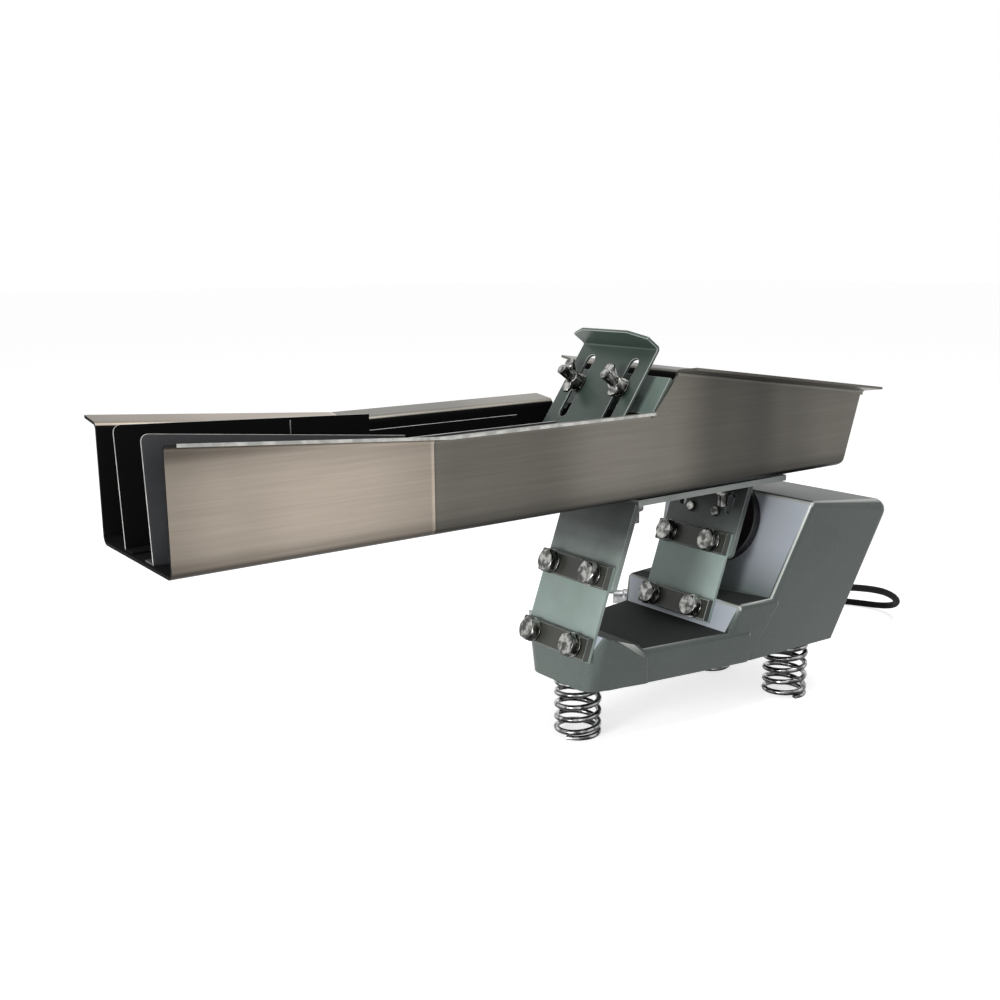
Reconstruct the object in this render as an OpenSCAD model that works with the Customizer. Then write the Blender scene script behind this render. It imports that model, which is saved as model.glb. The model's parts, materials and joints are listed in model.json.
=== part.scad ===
/* [Base casting] */
// Length of the underside, front to back
base_len = 267.5; // [250:0.5:290]
// Width across the front of the underside
base_front_w = 80; // [74:1:90]
// Width across the underside where the tower starts
base_waist_w = 127; // [122:1:134]
// Width across the rear end of the underside
base_rear_w = 136; // [134:1:146]
// Outward draft of the sides
side_draft = 8.5; // [6:0.5:10]
// Height of the upright front face
front_face_h = 29; // [24:0.5:31]
// Height of the front spring seat above the underside
front_boss_h = 52; // [50:0.5:56]
// Depth of the flat top behind the front seat
front_boss_top = 4.5; // [3:0.5:8]
// Length of the ramp from the front seat down to the valley
ramp_len = 36; // [30:1:44]
// Height of the valley floor above the underside
valley_h = 30; // [28:0.5:32]
// Height of the rear spring seat above the underside
rear_boss_h = 53.5; // [52:0.5:58]
// Height of the tower's front edge above the underside
tower_h = 136; // [130:1:138]
// How far the tower's top falls towards the rear
tower_fall = 11; // [4:0.5:16]
// Wall of the casting
casting_wall = 8; // [6:0.5:9]
// Radius of the upright front corners
front_corner_r = 15; // [10:1:18]
// Radius of the casting's other edges
edge_r = 5; // [3:0.5:6]
// Radius of the tower's rear top edge
tower_rear_r = 10; // [7:0.5:14]
// Metal left proud of the machined spring seats
seat_relief = 1.2; // [0.6:0.1:2]

/* [Support springs] */
// Height of the underside above the floor
spring_h = 49; // [44:0.5:54]
// Outside diameter of a support spring
spring_d = 38; // [34:0.5:40]
// Wire diameter of a support spring
spring_wire = 4; // [3:0.25:4.5]
// Turns of a support spring that carry load
spring_turns = 3.6; // [3:0.1:4.2]
// Distance of the front spring behind the front face
front_spring_x = 22; // [21:0.5:26]
// Distance of the rear springs behind the front face
rear_spring_x = 229; // [220:1:234]
// Distance between the two rear springs
rear_spring_gap = 90; // [80:1:94]
// Height of the spigot inside each support spring
spigot_h = 7; // [4:0.5:10]
// Gap around a spigot
spigot_gap = 0.6; // [0.3:0.1:1.5]

/* [Leaf springs] */
// Lean of the leaf springs from upright
lean = 20; // [17:0.5:22]
// Width of a leaf spring
leaf_w = 80; // [74:1:82]
// Thickness of a leaf spring
leaf_t = 3; // [2:0.25:4]
// Distance between the lower and upper bolts, along the leaf
leaf_pitch = 58; // [54:1:62]
// Leaf beyond its bolts
leaf_end = 10; // [8:0.5:12]
// Distance of the front seat behind the front face, at the bolts
front_seat_x = 3.5; // [3:0.25:5]
// Height of the front seat's bolts above the underside
front_seat_h = 35.6; // [34:0.2:38]
// Distance between the front and rear seats
seat_gap = 134.5; // [128:0.5:140]
// Height of the rear seat's bolts above the underside
rear_seat_h = 42.1; // [41:0.1:44]
// Distance between the two bolts of a clamp bar
clamp_bolt_gap = 50; // [46:1:54]
// Height of a clamp bar
bar_h = 19; // [18:0.5:20]
// Thickness of a clamp bar
bar_t = 6; // [5:0.5:8]

/* [Bolts] */
// Diameter of the clamp bolts
bolt_d = 10; // [8:1:10]
// Width across the flats of a clamp bolt's head
bolt_af = 17; // [15:0.5:17]
// Height of a clamp bolt's head
bolt_head_h = 6.4; // [5:0.2:7]
// Outside diameter of a clamp washer
washer_d = 20; // [18.5:0.5:21]
// Thickness of a clamp washer
washer_t = 2; // [1.5:0.1:2.5]
// Height of a nut behind an upper clamp
nut_h = 7; // [5:0.5:7.5]
// Thread in the casting below each seat
thread_depth = 20; // [16:1:22]
// Clearance around a bolt in its hole
bolt_gap = 0.3; // [0.2:0.05:0.5]

/* [Bracket] */
// Thickness of the bracket's plate and legs
bracket_t = 5; // [4:0.25:6]
// Width of the bracket's plate
bracket_w = 88; // [84:1:94]
// Width of the bracket's legs
leg_w = 84; // [82:1:86]
// Leg below its bolts
leg_end = 11; // [9:0.5:12]
// Distance of the plate's rear end behind the rear leg
plate_tail = 40; // [30:1:46]
// Height of the trough's underside above the floor
trough_z = 204.5; // [202:0.5:212]
// Thickness of the spacers between the plate and the trough
spacer_t = 4; // [3:0.5:5]
// Diameter of the trough bolts
trough_bolt_d = 8; // [6:0.5:8]
// Distance between the trough bolts across the trough
trough_bolt_gap = 50; // [44:1:56]
// Distance of the trough bolts from the legs
trough_bolt_inset = 14; // [12.5:0.5:18]
// Length of a trough bolt below the trough floor
trough_bolt_len = 27; // [22:1:32]

/* [Magnet] */
// Distance between the rear seat and the tower, square to them
magnet_space = 33.2; // [32.6:0.2:36]
// Diameter of the magnet's round housing
magnet_d = 73; // [64:1:78]
// Thickness of the magnet's round housing
magnet_t = 8; // [6:0.5:9]
// Height of the magnet's centre up the tower's face
magnet_s = 56; // [50:0.5:60]
// Height of the magnet's coil block
coil_h = 31; // [28:0.5:34]
// Width of the magnet's coil block
coil_w = 48; // [40:1:54]
// Height of the coil block's centre above the housing's
coil_above = 4; // [0:0.5:6]
// Diameter of the armature's screws
screw_d = 5; // [4:0.5:6]
// Distance between the armature's screws
screw_gap = 29; // [26:0.5:34]
// Air gap between the magnet's core and the armature
air_gap = 2.2; // [1.8:0.1:3]
// Thickness of the armature
armature_t = 7; // [5:0.5:8]

/* [Trough] */
// Width of the trough outside its walls
trough_w = 119; // [112:1:126]
// Thickness of the trough's sheet
sheet_t = 2; // [1.5:0.1:2.5]
// Outside radius of the trough's bottom bends
bend_r = 6; // [4:0.5:8]
// How far the trough reaches out in front of the base
overhang = 337.5; // [300:0.5:360]
// Length of the discharge section
discharge_len = 182.5; // [150:0.5:210]
// Wall height at the discharge end
discharge_h = 81; // [74:0.5:88]
// Wall height of the main section
wall_h = 67.5; // [62:0.5:70]
// Wall height at the front of the hopper
hopper_front_h = 98; // [92:0.5:104]
// Wall height at the rear of the hopper
hopper_rear_h = 67.5; // [62:0.5:72]
// Distance of the hopper's step behind the base's front face
step_x = 46; // [40:1:50]
// Distance of the trough's rear end behind the base's front face, at the floor
trough_rear_x = 277.5; // [265:0.5:285]
// Slant of the trough's rear wall
rear_slant = 18.5; // [14:0.5:20]
// Width of the flange along the top of the walls
flange_w = 23; // [16:0.5:26]
// Rise of the flange, outwards
flange_rise = 8; // [4:0.5:12]
// Inside radius of the flange's bend
flange_r = 3; // [2:0.25:5]
// Width of the joint strap inside the seam
strap_w = 16; // [12:1:24]

/* [Lane dividers] */
// Distance between the two lane dividers
lane_gap = 48; // [42:1:54]
// Thickness of a lane divider
divider_t = 1.5; // [1:0.1:2]
// Width of a divider's foot
divider_foot = 13; // [8:0.5:16]
// Radius of a divider's front top corner
divider_r = 12; // [6:1:20]
// Distance between the dividers' rear ends and the base's front face
divider_stop = -22; // [-40:1:-18]

/* [Gate] */
// Lean of the gate from upright
gate_lean = 35.4; // [33:0.2:38]
// Distance of the gate ahead of the hopper's front plate
gate_ahead = 12.5; // [10:0.5:14]
// Width of the gate
gate_w = 87; // [80:1:92]
// Thickness of the gate
gate_t = 2.5; // [2:0.1:3]
// Gate above the foot of the hopper's step, along the gate
gate_up = 57.5; // [54:0.5:60]
// Gate below the foot of the hopper's step, along the gate
gate_down = 45; // [36:1:50]
// Length of the gate's bent lip
lip_len = 20; // [16:0.5:24]
// Chamfer at each end of the lip
lip_chamfer = 17; // [8:0.5:18]
// Distance between the two slots
slot_gap = 51; // [46:1:54]
// Width of a slot
slot_w = 9; // [8.8:0.1:10]
// Length of a slot's straight part
slot_len = 49; // [40:1:50]
// Height of the studs up the gate
stud_up = 18; // [14:0.5:22]
// Diameter of a stud
stud_d = 8; // [6:0.1:8]
// Stud ahead of the gate
stud_out = 22; // [18:0.5:26]
// Thickness of the hopper's front plate
front_plate_t = 2; // [1.5:0.1:3]
// Lower edge of the hopper's front plate, up the gate
front_plate_low = 5; // [3:0.5:8]
// Upper edge of the hopper's front plate, up the gate
front_plate_high = 38; // [34:0.5:42]
// Span of a wing nut
wing_span = 34; // [28:0.5:36]
// Turn of the near wing nut
near_wing_turn = 50; // [0:5:90]
// Turn of the far wing nut
far_wing_turn = 62; // [0:5:90]
// Gap on each face of the gate
gate_gap = 0.1; // [0.05:0.01:0.2]

/* [Cable] */
// Diameter of the cable
cable_d = 7; // [7:0.5:7]
// Height of the gland above the underside
gland_h = 39; // [30:1:60]
// Diameter of the gland's thread
gland_d = 16; // [12:0.5:20]
// Radius of the coil of spare cable
coil_r = 40; // [38:1:42]

/* [Hidden] */
$fn = 48;

paint = "#56605C";
laminate = "#9DB0A8";
bar_black = "#3A3B36";
zinc = "#B4B6B8";
spring_steel = "#8A8C90";
gate_green = "#46534D";
plate_green = "#67756E";
sheet_left = "#A39C92";
sheet_right = "#8C8880";
divider_steel = "#8F8F8C";
magnet_black = "#17171C";
copper = "#9A5B35";
core_steel = "#6B6C6E";
cable_black = "#141416";

// Height of the casting's underside, and its corner heights, above the floor
base_z = spring_h;
front_boss_z = base_z + front_boss_h;
valley_z = base_z + valley_h;
rear_boss_z = base_z + rear_boss_h;
tower_z = base_z + tower_h;
tower_rear_z = tower_z - tower_fall;

// Places of the seats, and of the faces that lean with them, at a height z
slope = tan(lean);
front_seat_z = base_z + front_seat_h;
rear_seat_z = base_z + rear_seat_h;
rear_seat_x = front_seat_x + seat_gap;
function front_seat_at(z) = front_seat_x + (z - front_seat_z) * slope;
function rear_seat_at(z) = rear_seat_x + (z - rear_seat_z) * slope;
function tower_front_at(z) = rear_seat_at(z) + magnet_space / cos(lean);
function tower_rear_at(z) = base_len + (z - base_z) * slope;
proud = seat_relief / cos(lean);

// Half width of the casting at a place on its side
waist_x = tower_front_at(base_z);
function base_half(x) = x < waist_x
    ? (base_front_w + (base_waist_w - base_front_w) * x / waist_x) / 2
    : (base_waist_w + (base_rear_w - base_waist_w) * (x - waist_x) / (base_len - waist_x)) / 2;
function side_half(x, z) = base_half(x) + (z - base_z) * tan(side_draft);

// A corner of a block: its place on the profile, its radius seen from above and its edge radius
skirt = edge_r + 2;
front_boss = [
    [0, base_z - skirt, front_corner_r, edge_r],
    [ramp_len + 24, base_z - skirt, edge_r, edge_r],
    [ramp_len + 18, valley_z - 4, edge_r, edge_r],
    [front_seat_at(front_boss_z) + front_boss_top, front_boss_z, edge_r, edge_r],
    [front_seat_at(front_boss_z) - proud, front_boss_z, front_corner_r, edge_r],
    [0, base_z + front_face_h, front_corner_r, edge_r]
];
valley = [
    [front_corner_r, base_z - skirt, edge_r, edge_r],
    [waist_x, base_z - skirt, edge_r, edge_r],
    [waist_x, valley_z, edge_r, edge_r],
    [front_corner_r, valley_z, edge_r, edge_r]
];
rear_boss = [
    [rear_seat_at(base_z - skirt) - proud, base_z - skirt, edge_r, edge_r],
    [waist_x, base_z - skirt, edge_r, edge_r],
    [tower_front_at(rear_boss_z) + 12, rear_boss_z, edge_r, edge_r],
    [rear_seat_at(rear_boss_z) - proud, rear_boss_z, edge_r, edge_r]
];
tower = [
    [tower_front_at(base_z - skirt), base_z - skirt, edge_r, edge_r],
    [tower_rear_at(base_z - skirt), base_z - skirt, edge_r, edge_r],
    [tower_rear_at(tower_rear_z), tower_rear_z, tower_rear_r, tower_rear_r],
    [tower_front_at(tower_z), tower_z, edge_r, edge_r]
];

function unit(v) = v / norm(v);
function outward(a, b) = unit([b[1] - a[1], a[0] - b[0]]);
function xz(p) = [p[0], p[1]];
// Centre of a knob that touches both edges that meet at corner i
function knob_at(p, i) = let(
        n = len(p), q = xz(p[i]), big = p[i][2], small = p[i][3],
        m = outward(xz(p[(i + n - 1) % n]), q), k = outward(q, xz(p[(i + 1) % n])),
        dm = m * q - (big - small) * abs(m[0]) - small,
        dk = k * q - (big - small) * abs(k[0]) - small,
        det = m[0] * k[1] - m[1] * k[0])
    [(dm * k[1] - dk * m[1]) / det, (m[0] * dk - k[0] * dm) / det];

// The part is centred on its own length, so the base's front face stands here
tower_tip = knob_at(tower, 2)[0] + tower_rear_r;
front_x = (overhang - tower_tip) / 2;

// Bolts, nuts and the leaf stack, square to the leaf
stack = leaf_t + bar_t;
head_seat = stack + washer_t;
hole_d = bolt_d + 2 * bolt_gap;
nut_r = bolt_af / 2 / cos(30);

// The bracket's plate
plate_top = trough_z - spacer_t;
plate_bottom = plate_top - bracket_t;
plate_front = front_seat_at(plate_top);
plate_rear = rear_seat_at(plate_bottom) + bracket_t / cos(lean) + plate_tail;
trough_bolt_xs = [front_seat_at(plate_bottom) + bracket_t / cos(lean) + trough_bolt_inset - 4,
                  rear_seat_at(plate_bottom) - trough_bolt_inset];
trough_nut_af = trough_bolt_d * 13 / 8;
trough_nut_h = trough_bolt_d * 0.8;
trough_washer_t = trough_bolt_d * 0.2;

// The magnet, square to the tower's face
tower_foot = (rear_boss_z - rear_seat_z) / cos(lean) + (magnet_space / cos(lean)) * sin(lean);
magnet_up = tower_foot + magnet_s;
coil_up = magnet_up + coil_above;
coil_front = bracket_t + armature_t + air_gap;
coil_face = coil_front + 1;
coil_back = magnet_space - magnet_t;

// Trough outlines: depth below a flange's edge where its bend starts and the wall ends
drop = flange_r + sheet_t;
seam_x = discharge_len - overhang;
rear_tan = tan(rear_slant);
rear_bend_r = bend_r + 3;
past = 5;
hem = 0.05;
function rear_at(h) = trough_rear_x + h * rear_tan;
step_top_x = step_x + (hopper_front_h - wall_h) * tan(gate_lean) + 2;
lane_floor = trough_z + sheet_t;

// The gate's own frame: its foot is ahead of the hopper's step
gate_x = step_x - gate_ahead * cos(gate_lean) - 4;
gate_z = trough_z + wall_h + 0.4;
stud_shoulder = gate_ahead - gate_t - gate_gap;
hub_seat = gate_gap + 1.6;
lip_r = gate_t + 1.5;

// The gland's seat on the tower's rear face
gland_z = base_z + gland_h;
gland_x = tower_rear_at(gland_z);
gland_len = 21;
mouth = [front_x + gland_x + gland_len * cos(lean), gland_z - gland_len * sin(lean)];

// The cable's route down to the floor and behind the part, and the tail that leaves the coil
cable_r = cable_d / 2;
coil_at = [410, 160];
coil_w_in = 25;
coil_w_up = 3 * cable_d + 0.4;
tie_t = 0.9;
coil_z = tie_t + 0.1 + coil_w_up / 2;
cable_route = [
    [mouth[0], 0, mouth[1]], [333, 0.2, 74.8], [351, 0.5, 69.8], [369, 1, 65.6], [387, 1.6, 61.8],
    [405, 2.2, 58], [423, 2.8, 53.8], [441, 3.6, 49], [459, 5, 43.2], [476, 7.5, 36], [491.5, 12, 28],
    [504.5, 19.5, 20], [514, 30, 13], [519.5, 43, 8], [520.5, 57, 5.2], [517.5, 71, 4.2],
    [511.5, 84.5, 4], [503.5, 97.5, 4], [494.5, 110, 4], [485.5, 122.5, 4], [476.5, 135.5, 4.2],
    [465.3, 156.1, 4.4]
];
tail_route = [
    [403, 199.8, 18.8], [390, 201.2, 17.6], [377.5, 204, 14.6], [366.5, 208.5, 11.4], [356.5, 214.5, 9.2],
    [347.5, 220.5, 8.5], [339, 227.5, 8.5]
];
plug_at = [339, 227.5];
plug_turn = 140;
plug_r = 8.5;

// Points of an arc about c, from angle a to angle b
function arc(c, r, a, b, steps = 8) = [for (i = [0:steps]) let(t = a + (b - a) * i / steps)
    [c[0] + r * cos(t), c[1] + r * sin(t)]];

module from_front() {
    translate([front_x, 0, 0]) children();
}

module on_front_leaf(up = 0) {
    from_front() translate([front_seat_x, 0, front_seat_z]) rotate([0, lean, 0]) translate([0, 0, up])
        children();
}

module on_rear_leaf(up = 0) {
    from_front() translate([rear_seat_x, 0, rear_seat_z]) rotate([0, lean, 0]) translate([0, 0, up])
        children();
}

module on_gate() {
    from_front() translate([gate_x, 0, gate_z]) rotate([0, gate_lean, 0]) children();
}

// A profile drawn in X and Z, extruded across the width
module across(width) {
    translate([0, width / 2, 0]) rotate([90, 0, 0]) linear_extrude(width) children();
}

// A bar along X from a to b
module rod(d, a, b) {
    translate([a, 0, 0]) rotate([0, 90, 0]) cylinder(d = d, h = b - a);
}

// Two copies, one to each side of the centre plane
module pair(gap) {
    for (side = [-1, 1]) translate([0, side * gap / 2, 0]) children();
}

// A hexagon along X from 0 to h, with its outer corners turned down
module hexagon(af, h) {
    rotate([0, 90, 0]) intersection() {
        cylinder(d = af / cos(30), h = h, $fn = 6);
        union() {
            cylinder(d = af / cos(30), h = h * 0.82);
            translate([0, 0, h * 0.82]) cylinder(d1 = af / cos(30), d2 = af * 0.95, h = h * 0.18);
        }
    }
}

// A corner piece of the casting: a disc with a rounded rim
module knob(big, small) {
    rotate_extrude($fn = 32) intersection() {
        translate([big - small, 0]) circle(small, $fn = 16);
        translate([0, -small]) square([big, 2 * small]);
    }
}

module casting_block(p) {
    hull()
        for (i = [0:len(p) - 1], side = [-1, 1])
            let(c = knob_at(p, i), half = side_half(p[i][0], p[i][1]) - p[i][2])
                translate([c[0], side * half, c[1]]) knob(p[i][2], p[i][3]);
}

module casting_cavity() {
    w = casting_wall;
    lean_w = w / cos(lean);
    roof = valley_z - w;
    low = base_z - skirt - 1;
    intersection() {
        across(2 * base_rear_w) polygon([
            [w, low], [w, roof], [tower_front_at(roof) + lean_w, roof],
            [tower_front_at(tower_z - w) + lean_w, tower_z - w - 1],
            [tower_rear_at(tower_rear_z - w) - lean_w, tower_rear_z - w - 1], [tower_rear_at(low) - lean_w, low]
        ]);
        linear_extrude(tower_z) polygon([
            [w, -base_half(w) + w + 6], [w + 8, -base_half(w) + w], [waist_x, -base_half(waist_x) + w],
            [tower_tip, -base_half(tower_tip) + w], [tower_tip, base_half(tower_tip) - w],
            [waist_x, base_half(waist_x) - w], [w + 8, base_half(w) - w], [w, base_half(w) - w - 6]
        ]);
    }
}

module spring_pad(x, y) {
    translate([x, y, base_z]) cylinder(d = spring_d + 2, h = valley_h - edge_r);
    translate([x, y, base_z - spigot_h])
        cylinder(d = spring_d - 2 * spring_wire - 2 * spigot_gap, h = spigot_h + 1);
}

// A flat milled square to the bolts, from below the bar to above the seat
module seat_cut() {
    translate([-60, -leaf_w / 2 - 1, -bar_h / 2 - 2]) cube([60, leaf_w + 2, bar_h + 60]);
}

module base_casting() {
    color(paint) difference() {
        union() {
            difference() {
                from_front() union() {
                    casting_block(front_boss);
                    casting_block(valley);
                    casting_block(rear_boss);
                    casting_block(tower);
                }
                translate([-tower_tip, -base_rear_w, -1]) cube([3 * tower_tip, 2 * base_rear_w, base_z + 1]);
                from_front() casting_cavity();
            }
            from_front() spring_pad(front_spring_x, 0);
            from_front() pair(rear_spring_gap) spring_pad(rear_spring_x, 0);
        }
        on_front_leaf() seat_cut();
        on_rear_leaf() seat_cut();
        on_front_leaf() pair(clamp_bolt_gap) rod(hole_d, -1, thread_depth + 2);
        on_rear_leaf() pair(clamp_bolt_gap) rod(hole_d, -1, thread_depth + 2);
        from_front() translate([gland_x, 0, gland_z]) rotate([0, lean, 0]) rod(gland_d + 2 * bolt_gap, -20, 5);
    }
}

// Rings of points swept into a closed tube
module tube(rings) {
    n = len(rings[0]);
    last = len(rings) - 1;
    polyhedron(
        points = [for (ring = rings, p = ring) p],
        faces = concat(
            [[for (j = [0:n - 1]) j]],
            [for (i = [0:last - 1], j = [0:n - 1]) let(k = (j + 1) % n)
                each [[i * n + j, (i + 1) * n + j, i * n + k], [i * n + k, (i + 1) * n + j, (i + 1) * n + k]]],
            [[for (j = [n - 1:-1:0]) last * n + j]]),
        convexity = 6);
}

// Height of the wire's centre after a number of turns: one closed turn, the open ones, one closed turn
end_rise = spring_wire * 1.08;
end_low = spring_wire * 0.15;
function wire_z(u) = let(inner = base_z - 2 * end_rise - 2 * end_low)
    u < 1 ? end_low + end_rise * u
    : u < 1 + spring_turns ? end_low + end_rise + inner * (u - 1) / spring_turns
    : end_low + end_rise + inner + end_rise * (u - 1 - spring_turns);

// The ends are ground flat, so no point lies outside the spring's height
module support_spring(x, y, turn) {
    steps = 20;
    sides = 8;
    mean_r = (spring_d - spring_wire) / 2;
    count = round((spring_turns + 2) * steps);
    color(spring_steel) from_front() translate([x, y, 0]) rotate([0, 0, turn])
        tube([for (i = [0:count]) let(u = i / count * (spring_turns + 2), a = 360 * u)
            [for (j = [0:sides - 1]) let(b = 360 * (j + 0.5) / sides, r = mean_r + spring_wire / 2 * cos(b),
                z = wire_z(u) + spring_wire / 2 * sin(b))
                [r * cos(a), r * sin(a), min(max(z, 0), base_z)]]]);
}

module support_spring_front() {
    support_spring(front_spring_x, 0, 200);
}

module support_spring_rear_near() {
    support_spring(rear_spring_x, -rear_spring_gap / 2, 250);
}

module support_spring_rear_far() {
    support_spring(rear_spring_x, rear_spring_gap / 2, 140);
}

module leaf_spring() {
    color(laminate) difference() {
        translate([-leaf_t, -leaf_w / 2, -leaf_end]) cube([leaf_t, leaf_w, leaf_pitch + 2 * leaf_end]);
        for (up = [0, leaf_pitch]) translate([0, 0, up]) pair(clamp_bolt_gap) rod(hole_d, -leaf_t - 1, 1);
    }
}

module front_leaf_spring() {
    on_front_leaf() leaf_spring();
}

module rear_leaf_spring() {
    on_rear_leaf() leaf_spring();
}

module clamp_bar() {
    c = 1;
    color(bar_black) difference() {
        translate([-leaf_t, 0, 0]) across(leaf_w) polygon([
            [0, -bar_h / 2], [0, bar_h / 2], [c - bar_t, bar_h / 2], [-bar_t, bar_h / 2 - c],
            [-bar_t, c - bar_h / 2], [c - bar_t, -bar_h / 2]
        ]);
        pair(clamp_bolt_gap) rod(hole_d, -stack - 1, 1);
    }
}

module front_lower_clamp() {
    on_front_leaf() clamp_bar();
}

module front_upper_clamp() {
    on_front_leaf(leaf_pitch) clamp_bar();
}

module rear_lower_clamp() {
    on_rear_leaf() clamp_bar();
}

module rear_upper_clamp() {
    on_rear_leaf(leaf_pitch) clamp_bar();
}

module clamp_washers() {
    color(zinc) pair(clamp_bolt_gap) difference() {
        rod(washer_d, -head_seat, -stack);
        rod(hole_d, -head_seat - 1, 0);
    }
}

module front_lower_washers() {
    on_front_leaf() clamp_washers();
}

module front_upper_washers() {
    on_front_leaf(leaf_pitch) clamp_washers();
}

module rear_lower_washers() {
    on_rear_leaf() clamp_washers();
}

module rear_upper_washers() {
    on_rear_leaf(leaf_pitch) clamp_washers();
}

// Two hex bolts whose shanks reach a given depth behind the leaf; each head stands at its own turn
module clamp_bolts(depth, turns) {
    color(zinc) for (i = [0, 1]) translate([0, (2 * i - 1) * clamp_bolt_gap / 2, 0]) {
        rod(bolt_d, -head_seat, depth);
        translate([-head_seat, 0, 0]) rotate([turns[i], 0, 0]) mirror([1, 0, 0]) hexagon(bolt_af, bolt_head_h);
    }
}

module front_lower_bolts() {
    on_front_leaf() clamp_bolts(thread_depth, [8, 41]);
}

module rear_lower_bolts() {
    on_rear_leaf() clamp_bolts(thread_depth, [22, 3]);
}

module front_upper_bolts() {
    on_front_leaf(leaf_pitch) clamp_bolts(bracket_t + nut_h + 2, [28, 12]);
}

module rear_upper_bolts() {
    on_rear_leaf(leaf_pitch) clamp_bolts(bracket_t + nut_h + 1, [50, 17]);
}

module clamp_nuts(turn) {
    color(zinc) pair(clamp_bolt_gap) translate([bracket_t, 0, 0]) difference() {
        rotate([turn, 0, 0]) hexagon(bolt_af, nut_h);
        rod(bolt_d, -1, nut_h + 1);
    }
}

module front_upper_nuts() {
    on_front_leaf(leaf_pitch) clamp_nuts(12);
}

module rear_upper_nuts() {
    on_rear_leaf(leaf_pitch) clamp_nuts(30);
}

// A leg of the bracket, with round lower corners, up into the plate
module bracket_leg(top) {
    r = 6;
    low = leaf_pitch - leg_end;
    difference() {
        union() {
            translate([0, -leg_w / 2, low + r]) cube([bracket_t, leg_w, top - low - r]);
            translate([0, -leg_w / 2 + r, low]) cube([bracket_t, leg_w - 2 * r, r + 1]);
            pair(leg_w - 2 * r) translate([0, 0, low + r]) rod(2 * r, 0, bracket_t);
        }
        translate([0, 0, leaf_pitch]) pair(clamp_bolt_gap) rod(hole_d, -1, bracket_t + 1);
    }
}

// A slot through a leg, standing upright
module leg_slot(up, width, length) {
    translate([0, 0, up]) {
        rod(width, -1, bracket_t + 1);
        translate([0, 0, length - width]) rod(width, -1, bracket_t + 1);
        translate([-1, -width / 2, 0]) cube([bracket_t + 2, width, length - width]);
    }
}

module trough_bracket() {
    front_top = (plate_bottom - front_seat_z) / cos(lean) + bracket_t / 2;
    rear_top = (plate_bottom - rear_seat_z) / cos(lean) + bracket_t / 2;
    color(gate_green) difference() {
        union() {
            on_front_leaf() bracket_leg(front_top);
            on_rear_leaf() bracket_leg(rear_top);
            from_front() translate([plate_front, -bracket_w / 2, plate_bottom])
                cube([plate_rear - plate_front, bracket_w, bracket_t]);
        }
        on_rear_leaf() pair(clamp_bolt_gap + 4) leg_slot(rear_top - 26, 7, 19);
        on_rear_leaf(coil_up) pair(screw_gap) rod(screw_d + bolt_gap, -1, bracket_t + 1);
        from_front() for (x = trough_bolt_xs) translate([x, 0, plate_bottom - 1]) pair(trough_bolt_gap)
            cylinder(d = trough_bolt_d + 2 * bolt_gap, h = bracket_t + 2);
    }
}

module at_trough_bolts(z) {
    from_front() for (x = trough_bolt_xs) translate([x, 0, z]) pair(trough_bolt_gap) children();
}

module trough_spacers() {
    color(zinc) at_trough_bolts(plate_top) difference() {
        cylinder(d = 2 * trough_bolt_d, h = spacer_t);
        translate([0, 0, -1]) cylinder(d = trough_bolt_d + 2 * bolt_gap, h = spacer_t + 2);
    }
}

module trough_bolts() {
    head_h = trough_bolt_d * 0.35;
    color(zinc) at_trough_bolts(lane_floor) {
        translate([0, 0, -sheet_t - trough_bolt_len]) cylinder(d = trough_bolt_d, h = trough_bolt_len + sheet_t + 1);
        rotate_extrude() polygon([
            [0, 0], [trough_bolt_d, 0], [trough_bolt_d * 0.92, head_h * 0.5], [trough_bolt_d * 0.6, head_h * 0.9],
            [0, head_h]
        ]);
    }
}

module trough_washers() {
    color(zinc) at_trough_bolts(plate_bottom - trough_washer_t) difference() {
        cylinder(d = 2 * trough_bolt_d, h = trough_washer_t);
        translate([0, 0, -1]) cylinder(d = trough_bolt_d + 2 * bolt_gap, h = trough_washer_t + 2);
    }
}

module trough_nuts() {
    color(zinc) at_trough_bolts(plate_bottom - trough_washer_t) difference() {
        rotate([0, 90, 0]) hexagon(trough_nut_af, trough_nut_h);
        translate([0, 0, -trough_nut_h - 1]) cylinder(d = trough_bolt_d, h = trough_nut_h + 2);
    }
}

// Side view of the main section, inset by a sheet thickness for its inside, which runs out past its ends
module body_outline(inset) {
    r = rear_bend_r - inset;
    ahead = inset > 0 ? past : 0;
    above = inset > 0 ? wall_h : 0;
    floor_z = trough_z + inset;
    back = inset / cos(rear_slant);
    corner_x = rear_at(inset) - back;
    centre = [corner_x - r * tan(45 - rear_slant / 2), floor_z + r];
    top = trough_z + hopper_rear_h - drop + above;
    polygon(concat(
        [[seam_x - ahead, floor_z]], arc(centre, r, -90, -rear_slant),
        [[rear_at(top - trough_z) - back, top], [step_top_x, trough_z + hopper_front_h - drop + above],
         [step_x - 2, trough_z + wall_h - drop + above], [seam_x - ahead, trough_z + wall_h - drop + above]]));
}

// Side view of the discharge section, open at both ends
module discharge_outline(inset) {
    ahead = inset > 0 ? past : 0;
    above = inset > 0 ? wall_h : 0;
    polygon([
        [-overhang - ahead, trough_z + inset], [seam_x + ahead, trough_z + inset],
        [seam_x + ahead, trough_z + wall_h - drop + above], [-overhang - ahead, trough_z + discharge_h - drop + above]
    ]);
}

// End view of the folded sheet: square above, round at the bottom bends
module end_view(inset) {
    half = trough_w / 2 - inset;
    r = bend_r - inset;
    low = trough_z + inset + r;
    top = low + 2 * hopper_front_h;
    polygon(concat([[-half, top]], arc([r - half, low], r, 180, 270), arc([half - r, low], r, 270, 360), [[half, top]]));
}

module along(a, b) {
    translate([a, 0, 0]) rotate([90, 0, 90]) linear_extrude(b - a) children();
}

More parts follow.
